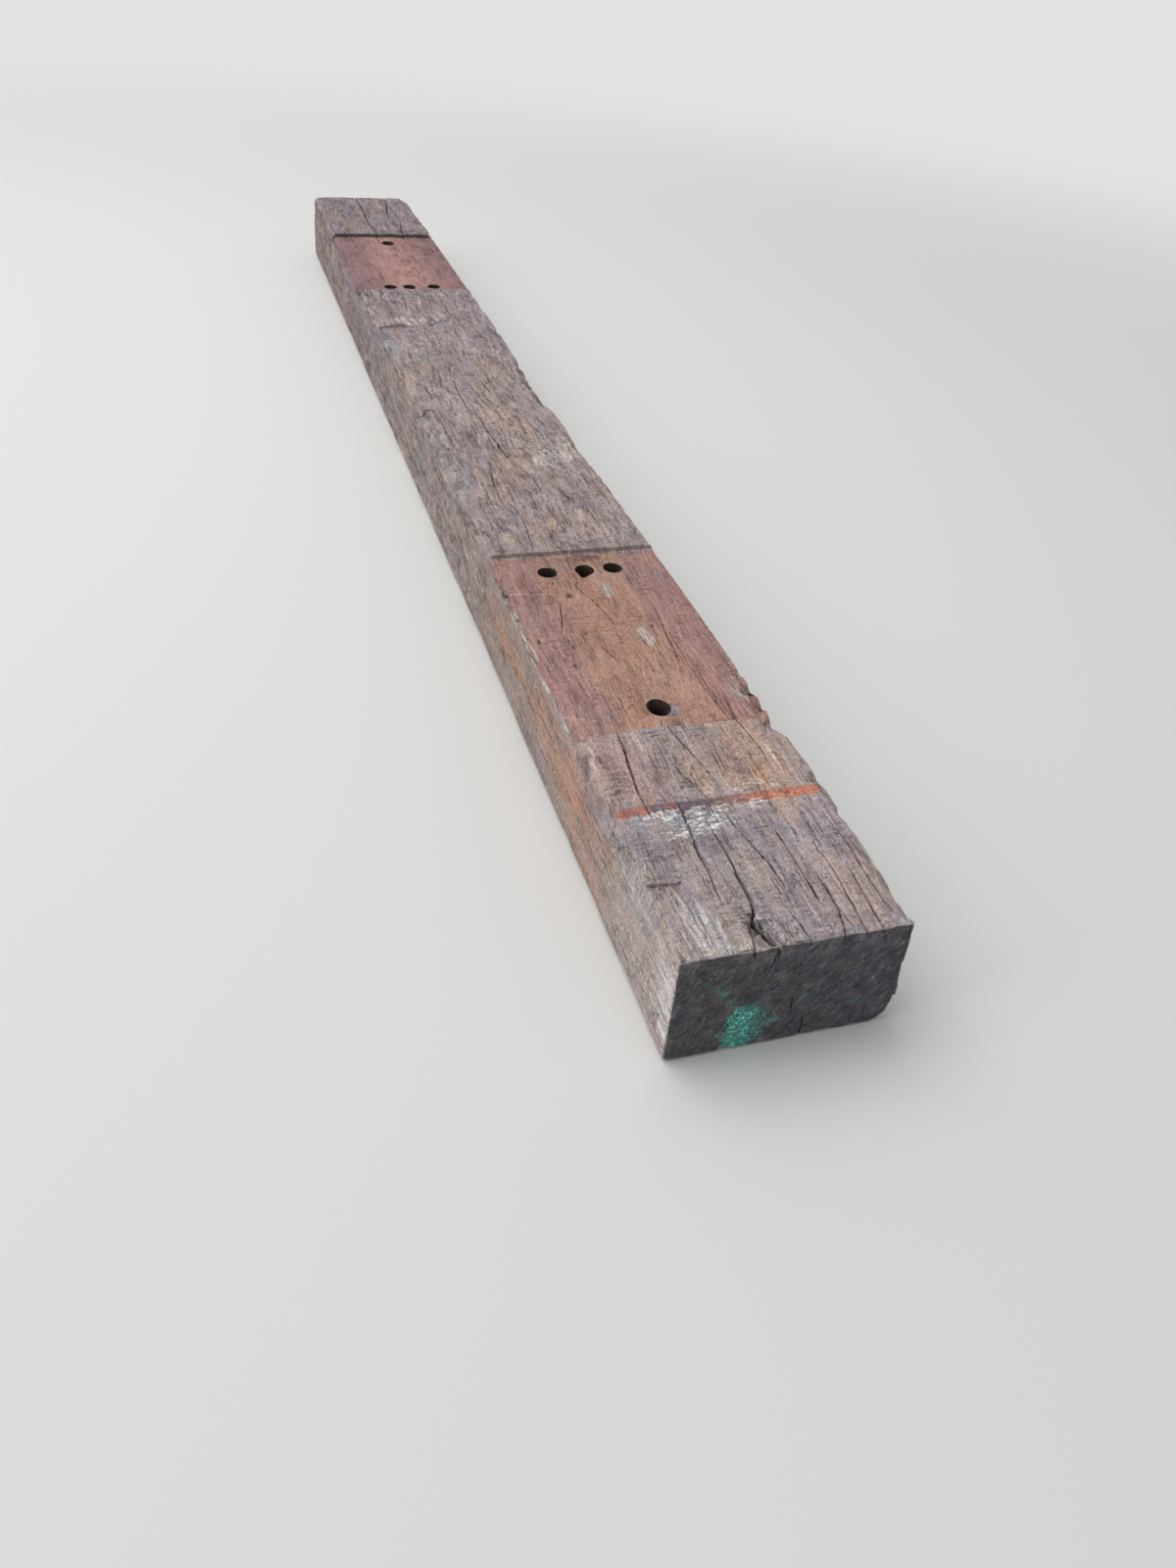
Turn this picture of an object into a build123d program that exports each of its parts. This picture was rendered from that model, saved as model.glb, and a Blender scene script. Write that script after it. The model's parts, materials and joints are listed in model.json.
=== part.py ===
from build123d import *
import os

# A used timber railway sleeper, lying on its underside. All sizes are in millimetres.
# X runs along the timber, Y across it and Z up. The origin is the middle of the underside.
# "Left" is the -Y side and "right" is the +Y side. The "near" end is the +X one.

os.makedirs("parts", exist_ok=True)

# The sawn timber
LENGTH = 2600  # end to end
WIDTH = 240  # over the foot of the section
HEIGHT = 135
LEAN_LEFT = 3  # how far the top edge stands in from the foot, left and right
LEAN_RIGHT = 8
LEAN_START = 36  # the sides are upright up to here, and lean in above

# The two adzed rail seats, cut down into the top from side to side
SEAT_SPACING = 1533  # middle of one seat to the middle of the other
SEAT_LENGTH = 407
SEAT_DEPTH = 8
OUTER_RUN = 7  # how far the outer shoulder slopes back from floor to top
SAW_RUN = 1.2  # the inner shoulder starts with a steep saw cut, this long and this deep
SAW_DEPTH = 5
ADZE_RUN = 12  # and the adze brought it down to the floor within this length
FLOOR_RADIUS = 2.5  # the tool's rounding where floor and outer shoulder meet

# The chair screws: three holes in a row on the inner side of a seat, and one on the outer side
HOLE_DIAMETER = 24
INNER_ROW = 162.5  # seat middle to the row of three
OUTER_HOLE = 155.5  # seat middle to the single hole
ROW_PITCH = 90  # between the row's two side holes
MIDDLE_SHIFT = 6  # the row's middle hole, off the centre line
OUTER_SHIFT = 3  # the single hole, off the centre line the other way

# The single holes carried the most load, so their mouths are worn long and funnel-shaped
MOUTH_LENGTH = 32
MOUTH_WIDTH = 26
MOUTH_DEPTH = 14
MOUTH_CLOSE = 1  # how far inside the bore's wall the funnel ends

# The broken rim of the near seat's middle hole
SPALL_DIAMETER = 20
SPALL_DEPTH = 8
SPALL_TAPER = 38  # degrees
SPALL_OFFSET = (9, -5)  # from the hole's axis, along and across

# Worn and waney long edges, as (along, leg of the rounding). The top right edge lost most
# around the middle, and the right foot kept some of the log's own round surface.
TOP_LEFT_WEAR = (
    (-1300, 12), (-1190, 6), (-970, 9), (-700, 6), (-520, 9), (-330, 8), (-120, 5), (50, 13),
    (95, 15), (150, 6), (280, 11), (350, 12), (430, 5), (555, 10), (673, 5), (727, 11),
    (820, 5), (891, 15), (962, 20), (990, 16), (1020, 7), (1152, 11), (1242, 8), (1300, 12),
)
TOP_RIGHT_WEAR = (
    (-1300, 24), (-1260, 14), (-1180, 10), (-960, 6), (-560, 8), (-300, 7), (-170, 13),
    (-90, 20), (-40, 28), (30, 24), (90, 9), (150, 8), (235, 17), (330, 6), (552, 6),
    (800, 5), (950, 9), (970, 22), (985, 24), (1006, 7), (1200, 5), (1280, 15), (1300, 15),
)
FOOT_LEFT_WEAR = (
    (-1300, 7), (-800, 9), (-400, 6), (0, 8), (300, 6), (640, 9), (900, 7), (1300, 7),
)
FOOT_RIGHT_WEAR = (
    (-1300, 14), (-1060, 10), (-830, 9), (-590, 13), (-355, 17), (-118, 12), (118, 9),
    (355, 12), (590, 16), (830, 14), (1060, 18), (1300, 24),
)
ROUND_SET_IN = 1.25  # the rounding's centre, in legs from the corner: 1 would be a true fillet

# The ends' own edges, worn round by handling: top and foot as (across, leg), then left and right
NEAR_TOP_WEAR = ((-120, 8), (-60, 5), (0, 4), (60, 6), (120, 9))
NEAR_FOOT_WEAR = ((-120, 4), (120, 4))
NEAR_UPRIGHT_WEAR = (5, 7)
FAR_TOP_WEAR = ((-120, 10), (-40, 6), (40, 7), (120, 14))
FAR_FOOT_WEAR = ((-120, 5), (120, 5))
FAR_UPRIGHT_WEAR = (8, 16)

# Drying splits in the top face, each as (along, across, width, depth) at its kinks
NEAR_END_SPLIT = (
    (1128, -27, 0.8, 4), (1170, -25, 1.6, 9), (1213, -27, 2.2, 13),
    (1238, -27, 2.6, 15), (1264, -31, 3.0, 17), (1284, -26, 3.2, 18), (1302, -22, 3.2, 18),
)
NEAR_HEART_SPLIT = (
    (1084, -46, 0.8, 4), (1104, -45, 1.4, 8), (1135, -47, 1.9, 12),
    (1165, -51, 1.9, 12), (1198, -52, 1.4, 8), (1228, -55, 0.8, 4),
)
SHOULDER_SPLIT = (
    (952, -68, 1.6, 11), (985, -69, 2.2, 12), (1035, -75, 2.2, 12),
    (1069, -79, 1.6, 9), (1106, -79, 0.8, 4),
)
MIDDLE_SPLIT = (
    (100, -22, 0.8, 4), (168, -20, 1.6, 10), (209, -16, 1.8, 12),
    (262, -13, 1.8, 12), (306, -8, 1.4, 9), (358, -4, 0.8, 4),
)
MIDDLE_LEFT_SPLIT = ((294, -47, 0.8, 4), (355, -57, 1.2, 7), (407, -59, 1.2, 7), (454, -51, 0.8, 4))
FAR_LEFT_SPLIT = (
    (-1302, -18, 2.6, 16), (-1240, -15, 2.4, 15), (-1170, -15, 2.0, 12),
    (-1100, -18, 1.6, 10), (-1048, -19, 0.8, 5),
)
FAR_RIGHT_SPLIT = ((-1302, 57, 2.0, 12), (-1230, 52, 1.8, 11), (-1167, 41, 1.4, 8), (-1090, 34, 0.8, 4))
SPLITS = (
    NEAR_END_SPLIT, NEAR_HEART_SPLIT, SHOULDER_SPLIT, MIDDLE_SPLIT,
    MIDDLE_LEFT_SPLIT, FAR_LEFT_SPLIT, FAR_RIGHT_SPLIT,
)

CUT_OVER = 2  # how far every cutting shape runs out past the wood

LEFT, RIGHT = -1, 1
FAR, NEAR = -1, 1


def side_at(side, height):
    """Where the sawn side stands, across, at a height: upright at the foot, leaning in above."""
    lean = LEAN_LEFT if side == LEFT else LEAN_RIGHT
    risen = max(0, height - LEAN_START) / (HEIGHT - LEAN_START)
    return side * (WIDTH / 2 - lean * risen)


def corner_section(corner, first, second, leg):
    """What wear took off at one place of an edge, drawn square to it. It is the corner outside
    a quarter circle, set so that the circle leaves both faces of the wood at one leg's length
    from the corner. The two directions run from the corner along those faces."""
    set_in = ROUND_SET_IN * leg
    radius = (set_in**2 + (set_in - leg) ** 2) ** 0.5
    low = set_in - radius  # the circle's lowest reach, just outside the wood
    bow = set_in - radius * 0.5**0.5  # halfway round the arc
    plane = Plane(origin=corner, x_dir=first, z_dir=Vector(first).cross(Vector(second)))
    with BuildSketch(plane) as section:
        with BuildLine():
            ThreePointArc((low, set_in), (bow, bow), (set_in, low))
            Polyline(
                (set_in, low),
                (set_in, -CUT_OVER),
                (-CUT_OVER, -CUT_OVER),
                (-CUT_OVER, set_in),
                (low, set_in),
            )
        make_face()
    return section.sketch


def run_over(wear):
    """The same stations, with the first and the last moved out past the wood's ends."""
    (first, first_leg), *middle, (last, last_leg) = wear
    return (first - CUT_OVER, first_leg), *middle, (last + CUT_OVER, last_leg)


def worn_edge(side, corner_height, wear):
    """The wood that one long edge lost. Its stations are joined straight, as a plane or a
    drawn edge would."""
    inward = 1 if corner_height == 0 else -1  # into the wood, from this corner's height
    with BuildPart() as cutter:
        for along, leg in run_over(wear):
            across = side_at(side, corner_height + inward * leg)
            add(corner_section((along, across, corner_height), (0, -side, 0), (0, 0, inward), leg))
        loft(ruled=True)
    return cutter.part


def worn_end_edge(end, corner_height, wear):
    """The wood that the top or the foot edge of one end lost."""
    inward = 1 if corner_height == 0 else -1
    with BuildPart() as cutter:
        for across, leg in run_over(wear):
            corner = (end * LENGTH / 2, across, corner_height)
            add(corner_section(corner, (-end, 0, 0), (0, 0, inward), leg))
        loft(ruled=True)
    return cutter.part


def worn_upright(end, side, leg):
    """The wood that one upright edge of an end lost, following the leaning side."""
    with BuildPart() as cutter:
        for height in (-CUT_OVER, LEAN_START, HEIGHT + CUT_OVER):
            corner = (end * LENGTH / 2, side_at(side, height), height)
            add(corner_section(corner, (-end, 0, 0), (0, -side, 0), leg))
        loft(ruled=True)
    return cutter.part


def split(kinks):
    """A drying split: a thin wedge that opens at the top and follows the grain."""
    with BuildPart() as cutter:
        for along, across, width, depth in kinks:
            with BuildSketch(Plane.YZ.offset(along)):
                with BuildLine():
                    # The wedge keeps its slope above the wood, so its width is true at the top.
                    half = width / 2 * (depth + CUT_OVER) / depth
                    Polyline(
                        (across - half, HEIGHT + CUT_OVER),
                        (across + half, HEIGHT + CUT_OVER),
                        (across, HEIGHT - depth),
                        close=True,
                    )
                make_face()
        loft(ruled=True)
    return cutter.part


def rail_seat(end):
    """The wood cut away for one rail seat: a shallow tray, open at both sides of the timber,
    with a sawn and adzed inner shoulder and a sloping outer one."""
    floor = HEIGHT - SEAT_DEPTH
    middle = end * SEAT_SPACING / 2
    inner = middle - end * SEAT_LENGTH / 2
    outer = middle + end * SEAT_LENGTH / 2
    saw_over = SAW_RUN * CUT_OVER / SAW_DEPTH  # both shoulders' slopes go on above the top
    outer_over = OUTER_RUN * CUT_OVER / SEAT_DEPTH
    with BuildPart() as cutter:
        with BuildSketch(Plane.XZ):
            with BuildLine():
                Polyline(
                    (inner - end * saw_over, HEIGHT + CUT_OVER),
                    (inner + end * SAW_RUN, HEIGHT - SAW_DEPTH),
                    (inner + end * ADZE_RUN, floor),
                    (outer - end * OUTER_RUN, floor),
                    (outer + end * outer_over, HEIGHT + CUT_OVER),
                    close=True,
                )
            make_face()
            outer_corner = vertices().group_by(Axis.Y)[0].sort_by(Axis.X)[-1 if end == NEAR else 0]
            fillet(outer_corner, FLOOR_RADIUS)
        extrude(amount=WIDTH / 2 + CUT_OVER, both=True)
    return cutter.part


def seat_holes(end):
    """The axes of one seat's four screw holes. The two ends are alike, turned half round."""
    middle = end * SEAT_SPACING / 2
    row = middle - end * INNER_ROW
    sides = [(row, LEFT * ROW_PITCH / 2), (row, RIGHT * ROW_PITCH / 2)]
    centre = (row, end * MIDDLE_SHIFT)
    single = (middle + end * OUTER_HOLE, -end * OUTER_SHIFT)
    return sides, centre, single


def worn_mouth(axis):
    """The funnel that a working screw wore: an oval at the seat's floor, lofted down to a
    circle that has sunk just inside the bore."""
    floor = HEIGHT - SEAT_DEPTH
    with BuildPart() as cutter:
        with BuildSketch(Plane.XY.offset(floor)):
            with Locations(axis):
                Ellipse(MOUTH_LENGTH / 2, MOUTH_WIDTH / 2)
        with BuildSketch(Plane.XY.offset(floor - MOUTH_DEPTH)):
            with Locations(axis):
                Circle(HOLE_DIAMETER / 2 - MOUTH_CLOSE)
        loft()
    return cutter.part


def sawn_baulk():
    """The timber as it left the saw, with its leaning sides."""
    with BuildPart() as baulk:
        with BuildSketch(Plane.YZ.offset(-LENGTH / 2)):
            with BuildLine():
                Polyline(
                    (side_at(LEFT, 0), 0),
                    (side_at(RIGHT, 0), 0),
                    (side_at(RIGHT, LEAN_START), LEAN_START),
                    (side_at(RIGHT, HEIGHT), HEIGHT),
                    (side_at(LEFT, HEIGHT), HEIGHT),
                    (side_at(LEFT, LEAN_START), LEAN_START),
                    close=True,
                )
            make_face()
        extrude(amount=LENGTH)
    return baulk.part


def build_sleeper():
    """One piece of timber: sawn, worn at the edges, adzed for the rails, bored and split."""
    seat_floor = HEIGHT - SEAT_DEPTH
    with BuildPart() as timber:
        add(sawn_baulk())

        # Wear and wane along the four long edges, then round the two ends
        add(worn_edge(LEFT, HEIGHT, TOP_LEFT_WEAR), mode=Mode.SUBTRACT)
        add(worn_edge(RIGHT, HEIGHT, TOP_RIGHT_WEAR), mode=Mode.SUBTRACT)
        add(worn_edge(LEFT, 0, FOOT_LEFT_WEAR), mode=Mode.SUBTRACT)
        add(worn_edge(RIGHT, 0, FOOT_RIGHT_WEAR), mode=Mode.SUBTRACT)
        for end, top_wear, foot_wear, upright_wear in (
            (NEAR, NEAR_TOP_WEAR, NEAR_FOOT_WEAR, NEAR_UPRIGHT_WEAR),
            (FAR, FAR_TOP_WEAR, FAR_FOOT_WEAR, FAR_UPRIGHT_WEAR),
        ):
            add(worn_end_edge(end, HEIGHT, top_wear), mode=Mode.SUBTRACT)
            add(worn_end_edge(end, 0, foot_wear), mode=Mode.SUBTRACT)
            for side, leg in zip((LEFT, RIGHT), upright_wear):
                add(worn_upright(end, side, leg), mode=Mode.SUBTRACT)

        for kinks in SPLITS:
            add(split(kinks), mode=Mode.SUBTRACT)

        for end in (FAR, NEAR):
            add(rail_seat(end), mode=Mode.SUBTRACT)
            sides, centre, single = seat_holes(end)
            with Locations(*[Pos(x, y, seat_floor) for x, y in (*sides, centre, single)]):
                Hole(radius=HOLE_DIAMETER / 2, depth=seat_floor)
            add(worn_mouth(single), mode=Mode.SUBTRACT)

        # The piece broken out of the near middle hole's rim
        _, centre, _ = seat_holes(NEAR)
        with BuildSketch(Plane.XY.offset(seat_floor)):
            with Locations((centre[0] + SPALL_OFFSET[0], centre[1] + SPALL_OFFSET[1])):
                Circle(SPALL_DIAMETER / 2)
        extrude(amount=-SPALL_DEPTH, taper=SPALL_TAPER, mode=Mode.SUBTRACT)
    return timber


sleeper = build_sleeper()
sleeper.part.label = "sleeper"
export_step(sleeper.part, "parts/sleeper.step")
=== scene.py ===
# %% [markdown]
# # A worn railway sleeper
# The real object is one baulk of timber, 2.6 m long, that carried two rails for decades.
# The solid model already has its section, its two adzed seats and its screw holes. What
# this notebook adds is everything that weather, ballast and the rail chairs did to the
# wood: grain, drying splits, torn edges, rust prints and paint marks.

# %% The frame
import json
import math

import bpy
import numpy as np
from mathutils import Matrix, Vector
from mathutils.bvhtree import BVHTree


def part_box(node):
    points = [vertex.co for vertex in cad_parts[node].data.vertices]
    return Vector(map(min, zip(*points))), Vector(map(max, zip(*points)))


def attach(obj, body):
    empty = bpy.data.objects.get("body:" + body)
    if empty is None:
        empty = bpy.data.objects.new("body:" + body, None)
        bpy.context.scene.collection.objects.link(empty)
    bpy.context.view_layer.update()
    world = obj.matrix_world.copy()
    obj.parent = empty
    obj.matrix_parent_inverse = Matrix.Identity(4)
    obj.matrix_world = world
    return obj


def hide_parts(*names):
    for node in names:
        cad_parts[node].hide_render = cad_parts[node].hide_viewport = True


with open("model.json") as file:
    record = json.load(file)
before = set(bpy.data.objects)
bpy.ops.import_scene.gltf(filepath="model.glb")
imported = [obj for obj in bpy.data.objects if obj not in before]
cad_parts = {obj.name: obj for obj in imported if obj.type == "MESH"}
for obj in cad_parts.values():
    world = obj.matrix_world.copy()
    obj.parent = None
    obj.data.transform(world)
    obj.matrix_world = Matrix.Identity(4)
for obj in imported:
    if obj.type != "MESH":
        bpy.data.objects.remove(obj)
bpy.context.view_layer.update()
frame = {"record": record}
_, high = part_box("sleeper")
HALF_LENGTH, HALF_WIDTH, HEIGHT = high.x, high.y, high.z
MM = 0.001
print(f"timber {2 * HALF_LENGTH:.3f} x {2 * HALF_WIDTH:.3f} x {HEIGHT:.3f} m")

# %% [markdown]
# ## Where things are
# The record's mounts say where the seats and the screws are, so those places are read
# from it. X runs along the timber and Y across it. The near end of the photograph is
# the +X end, and its left side is the -Y side.

# %% Places taken from the record
mounts = {mount["name"]: mount for mount in frame["record"]["mounts"]}
SEAT_MIDDLE, _, SEAT_FLOOR = mounts["near_seat"]["pos_m"]
ROW_OF_THREE = mounts["near_seat_screws"]["pos_m"][0]
ROW_REACH = mounts["near_seat_screws"]["dims"]["spacing_y_mm"] * MM / 2
HOLE_RADIUS = mounts["near_seat_screws"]["dims"]["hole_r_mm"] * MM
SEAT_DEPTH = HEIGHT - SEAT_FLOOR
SEAT_LENGTH = 0.407
# How far the shoulders reach along the timber: the outer slope, the saw cut and the adzed run
OUTER_RUN, SAW_RUN, SAW_DEPTH, ADZE_RUN = 0.007, 0.0012, 0.005, 0.012
SEAT_INNER = SEAT_MIDDLE - SEAT_LENGTH / 2
SEAT_OUTER = SEAT_MIDDLE + SEAT_LENGTH / 2
SINGLE_HOLE = SEAT_MIDDLE + 0.1555
MIDDLE_SHIFT, OUTER_SHIFT = 0.006, 0.003  # how far the middle and the single holes are off centre
LEAN_START = 0.036  # up to this height the sides are upright
# How far a side's top stands in, as (along, lean) in millimetres: less beside the near seat
LEAN_LEFT = [(-1300, 3), (1220, 3), (1300, 0)]
LEAN_RIGHT = [(-1300, 8), (350, 8), (560, 4.5), (660, 2), (1090, 2), (1300, 7)]
print(f"seats {SEAT_INNER:.3f} to {SEAT_OUTER:.3f} m from the middle, {SEAT_DEPTH * 1000:.0f} mm deep")

# %% [markdown]
# ## Noise that numpy can work out
# Weathered wood is never regular, and every surface here leans on the same tool: random
# values on the corners of a box lattice, blended smoothly in between. Long boxes make
# grain, because wood changes slowly along its fibres and fast across them.

# %% Lattice noise
def ease(start, end, value):
    """0 up to start, 1 from end on, and the smooth cubic 3t^2 - 2t^3 in between."""
    t = np.clip((value - start) / (end - start), 0, 1)
    return t * t * (3 - 2 * t)


def corner_value(cells, seed):
    """A random number from -1 to 1 for each whole-numbered lattice corner: the three
    whole numbers are multiplied by large primes, mixed and scrambled."""
    x, y, z = (cells[..., axis].astype(np.uint64) for axis in range(3))
    mixed = x * np.uint64(73856093) ^ y * np.uint64(19349663) ^ z * np.uint64(83492791)
    mixed = (mixed ^ np.uint64(seed * 2654435761)) & np.uint64(0xFFFFFFFF)
    mixed = (mixed ^ (mixed >> np.uint64(15))) * np.uint64(2246822519) & np.uint64(0xFFFFFFFF)
    mixed = (mixed ^ (mixed >> np.uint64(13))) * np.uint64(3266489917) & np.uint64(0xFFFFFFFF)
    mixed = mixed ^ (mixed >> np.uint64(16))
    return mixed.astype(float) / 0x7FFFFFFF - 1


def noise(points, cell, seed):
    """Smooth noise from -1 to 1: each point is blended from its lattice box's eight
    corners, with a weight of 6t^5 - 15t^4 + 10t^3 along each side of the box."""
    place = points / np.array(cell) + 1000.5
    base = np.floor(place).astype(np.int64)
    part = place - base
    weight = part**3 * (part * (part * 6 - 15) + 10)
    total = 0
    for corner in np.ndindex(2, 2, 2):
        share = np.prod(np.where(corner, weight, 1 - weight), axis=-1)
        total = total + share * corner_value(base + np.array(corner), seed)
    return total


def layered(points, cell, seed, layers=3):
    """Noise laid over itself: each layer has boxes half as large and counts half as much."""
    total, share = 0, 1
    for layer in range(layers):
        total = total + share * noise(points, np.array(cell) / 2**layer, seed + layer)
        share /= 2
    return total / (2 - 2 * share)


print("noise at three places:", noise(np.eye(3), (0.4, 0.4, 0.4), 1).round(2))

# %% [markdown]
# ## Drying splits
# Wood shrinks across the grain as it dries and opens in long thin splits that follow the
# fibres. They could be painted on, but light falls into a real split and shows its depth,
# so each one is cut into the surface. A split is a row of kinks, a width and a depth.

# %% The splits of the top face
# Each is (kinks as (along, across) in millimetres, widest, deepest, where it stays open).
SHUT, NEAR_OPEN, FAR_OPEN = 0, 1, -1
SPLITS = [
    # from the heart to the near end, and the one beside it
    ([(1120, -27), (1170, -25), (1193, -24), (1213, -27), (1238, -27), (1264, -31), (1284, -26),
      (1302, -22)], 3.0, 18, NEAR_OPEN),
    ([(1262, -40), (1270, -41), (1284, -44), (1302, -48)], 2.2, 9, NEAR_OPEN),
    ([(1259, -35), (1268, -34), (1282, -30), (1298, -25)], 4.2, 16, FAR_OPEN),
    ([(1076, -46), (1104, -45), (1135, -47), (1165, -51), (1198, -52), (1234, -55)], 1.9, 12, SHUT),
    # crossing the near seat's outer shoulder
    ([(958, -68), (985, -69), (1001, -70), (1035, -75), (1069, -79), (1114, -79)], 2.2, 12, SHUT),
    ([(938, -8), (960, -11), (985, -8), (1011, -2), (1037, 2), (1068, 7)], 1.2, 7, SHUT),
    ([(1030, -30), (1065, -19), (1088, -13), (1106, -8)], 1.0, 4, SHUT),
    ([(935, 78), (970, 71), (995, 73), (1023, 76), (1056, 75)], 1.2, 6, SHUT),
    ([(905, 80), (952, 76), (976, 79)], 1.8, 8, SHUT),
    # fine ones between the rust band and the near end
    ([(1106, -4), (1144, -1), (1169, 5), (1200, 10), (1236, 13)], 0.9, 4, SHUT),
    ([(1148, 36), (1183, 37), (1205, 37), (1241, 36), (1268, 37)], 1.2, 7, SHUT),
    ([(1208, 49), (1241, 52), (1268, 49), (1302, 40)], 1.2, 6, NEAR_OPEN),
    ([(1205, 87), (1237, 84), (1270, 81), (1302, 80)], 1.0, 5, NEAR_OPEN),
    ([(1238, 0), (1261, 3), (1278, 6), (1302, 7)], 1.0, 4, NEAR_OPEN),
    ([(1170, 66), (1220, 68), (1262, 65), (1302, 63)], 0.9, 4, NEAR_OPEN),
    ([(1130, 95), (1180, 99), (1235, 96), (1280, 96)], 0.9, 4, SHUT),
    # in the near seat
    ([(619, -8), (647, -18), (675, -8), (706, -2), (745, 4)], 0.8, 4, SHUT),
    ([(690, 67), (735, 64), (778, 59), (809, 57), (840, 52)], 1.1, 6, SHUT),
    ([(682, -50), (721, -58), (750, -67)], 0.9, 4, SHUT),
    ([(770, -34), (801, -24), (830, -17)], 0.8, 4, SHUT),
    ([(850, 65), (893, 63), (922, 66), (960, 68)], 0.9, 4, SHUT),
    # between the seats
    ([(95, -22), (168, -20), (209, -16), (262, -13), (306, -8), (362, -3)], 1.8, 12, SHUT),
    ([(205, -17), (222, -7), (240, 3)], 1.0, 5, SHUT),
    ([(-65, -29), (5, -33), (72, -32)], 1.2, 6, SHUT),
    ([(-48, -8), (0, -2), (46, 2), (84, 18)], 1.2, 6, SHUT),
    ([(135, -87), (189, -86), (242, -85)], 1.2, 6, SHUT),
    ([(290, -47), (355, -57), (407, -59), (458, -51)], 1.2, 7, SHUT),
    ([(452, -42), (500, -45), (556, -51)], 1.0, 5, SHUT),
    ([(-216, 20), (-160, 17)], 1.2, 6, SHUT),
    ([(104, 54), (168, 54), (222, 52)], 1.0, 5, SHUT),
    ([(-470, 40), (-410, 36), (-352, 37)], 1.2, 6, SHUT),
    ([(-520, -36), (-470, -38), (-420, -44)], 1.2, 5, SHUT),
    # from the far seat to the far end
    ([(-1302, -18), (-1240, -15), (-1170, -15), (-1100, -18), (-1048, -19), (-970, -15),
      (-900, -14)], 3.0, 16, FAR_OPEN),
    ([(-1302, 57), (-1230, 52), (-1167, 41), (-1085, 34)], 2.0, 12, FAR_OPEN),
    ([(-1085, 60), (-1040, 53), (-992, 47), (-925, 41)], 1.8, 8, SHUT),
]
GATHER, GATHER_REACH = 0.78, 0.0085  # how hard and from how far a split draws grid lines in
SPLIT_SEED = 300  # the first split's seed


def split_line(kinks, x, seed):
    """Where a split runs across the timber at each x: straight between its kinks, with a
    tremble of half a millimetre or so. The share of the way along it comes back too."""
    along, across = (np.array(axis) * MM for axis in zip(*kinks))
    spot = np.stack([x, np.zeros_like(x), np.zeros_like(x)], axis=-1)
    tremble = layered(spot, (0.018, 1, 1), seed, 2) * 0.8 * MM
    return np.interp(x, along, across) + tremble, (x - along[0]) / (along[-1] - along[0])


def split_taper(share, open_at):
    """How wide a split is along its length, from 0 to 1: a half wave to a power, so that
    both tips are fine, or half of one where it runs out through an end."""
    inside = (share > 0) & (share < 1)
    t = np.clip(share, 0, 1)
    wave = {SHUT: np.sin(np.pi * t), NEAR_OPEN: np.sin(np.pi / 2 * t), FAR_OPEN: np.cos(np.pi / 2 * t)}
    return np.where(inside, np.abs(wave[open_at]) ** 0.6, 0)


def gather_lines(x, y):
    """Draws the top's grid lines in towards each split, so that a few fine cells carry it.
    A line at distance t moves in by a share of t that falls off as exp(-(t / reach)^2)."""
    for index, (kinks, _, _, open_at) in enumerate(SPLITS):
        line, share = split_line(kinks, x, SPLIT_SEED + index)
        here = ease(-0.12, 0.02, share) * (1 - ease(0.98, 1.12, share))
        t = y - line[:, None]
        y = y - GATHER * here[:, None] * t * np.exp(-((t / GATHER_REACH) ** 2))
    return y


def split_depth(x, y):
    """How deep the splits go at each point, in metres: each is a V that is as wide as its
    taper says. How much painted shade the split gets, from 0 to 1, comes back too."""
    depth, dark = np.zeros_like(x), np.zeros_like(x)
    for index, (kinks, width, deepest, open_at) in enumerate(SPLITS):
        line, share = split_line(kinks, x, SPLIT_SEED + index)
        taper = split_taper(share, open_at)
        half = np.maximum(width * MM / 2 * taper, 1e-6)
        vee = np.clip(1 - np.abs(y - line) / half, 0, 1)
        depth = np.maximum(depth, deepest * MM * taper * vee**0.75)
        halo = np.clip(1 - np.abs(y - line) / (half + 0.3 * MM), 0, 1) * ease(0, 0.3, taper)
        dark = np.maximum(dark, halo**0.5)
    return depth, dark


print(f"{len(SPLITS)} splits, the widest {max(width for _, width, _, _ in SPLITS)} mm")

# %% [markdown]
# ## The grid
# The timber is one closed surface with the layout of a box: rings of points at many
# stations along it, and a grid across each end. Stations lie closer together towards the
# near end, where the camera is, and exactly on the shoulders of the seats. The top has
# twice the underside's columns, because the splits are there.

# %% Stations along the timber
TOP_CELLS, FOOT_CELLS, SIDE_CELLS = 124, 62, 34
FAR_DENSITY, NEAR_DENSITY = 84, 178  # stations in a metre
NEAR_END_STATIONS = np.array([0, 0.5, 1.5, 3, 5.5, 9]) * MM  # distances from the end
FAR_END_STATIONS = np.array([0, 0.7, 2, 4, 7, 11, 16]) * MM
CLOSEST = 0.0021  # an even station nearer than this to a fixed one is left out
BESIDE = 0.0025  # a station this far outside each shoulder keeps its top edge crisp
# Steps across the top where strips of fibres tore out, each as (kinks as (along, across),
# depth, how far along the timber the wood follows the step's line), in millimetres
STEPS = [
    ([(1208, -126), (1199, -115), (1203, -102), (1204, -86), (1200, -76)], 5.2, 18),
    ([(-326, -124), (-332, -112), (-350, -71), (-337, -40), (-348, -11), (-366, 18), (-372, 30)],
     2.4, 60),
    ([(62, -124), (68, -110), (63, -96), (71, -80)], 4.4, 18),
    ([(268, -122), (276, -110), (270, -98)], 3.2, 18),
    ([(1265, -44), (1264, -36), (1267, -27)], 4.0, 12),
]
STEP_PLACES = [sum(x for x, _ in kinks) / len(kinks) for kinks, _, _ in STEPS]


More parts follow.
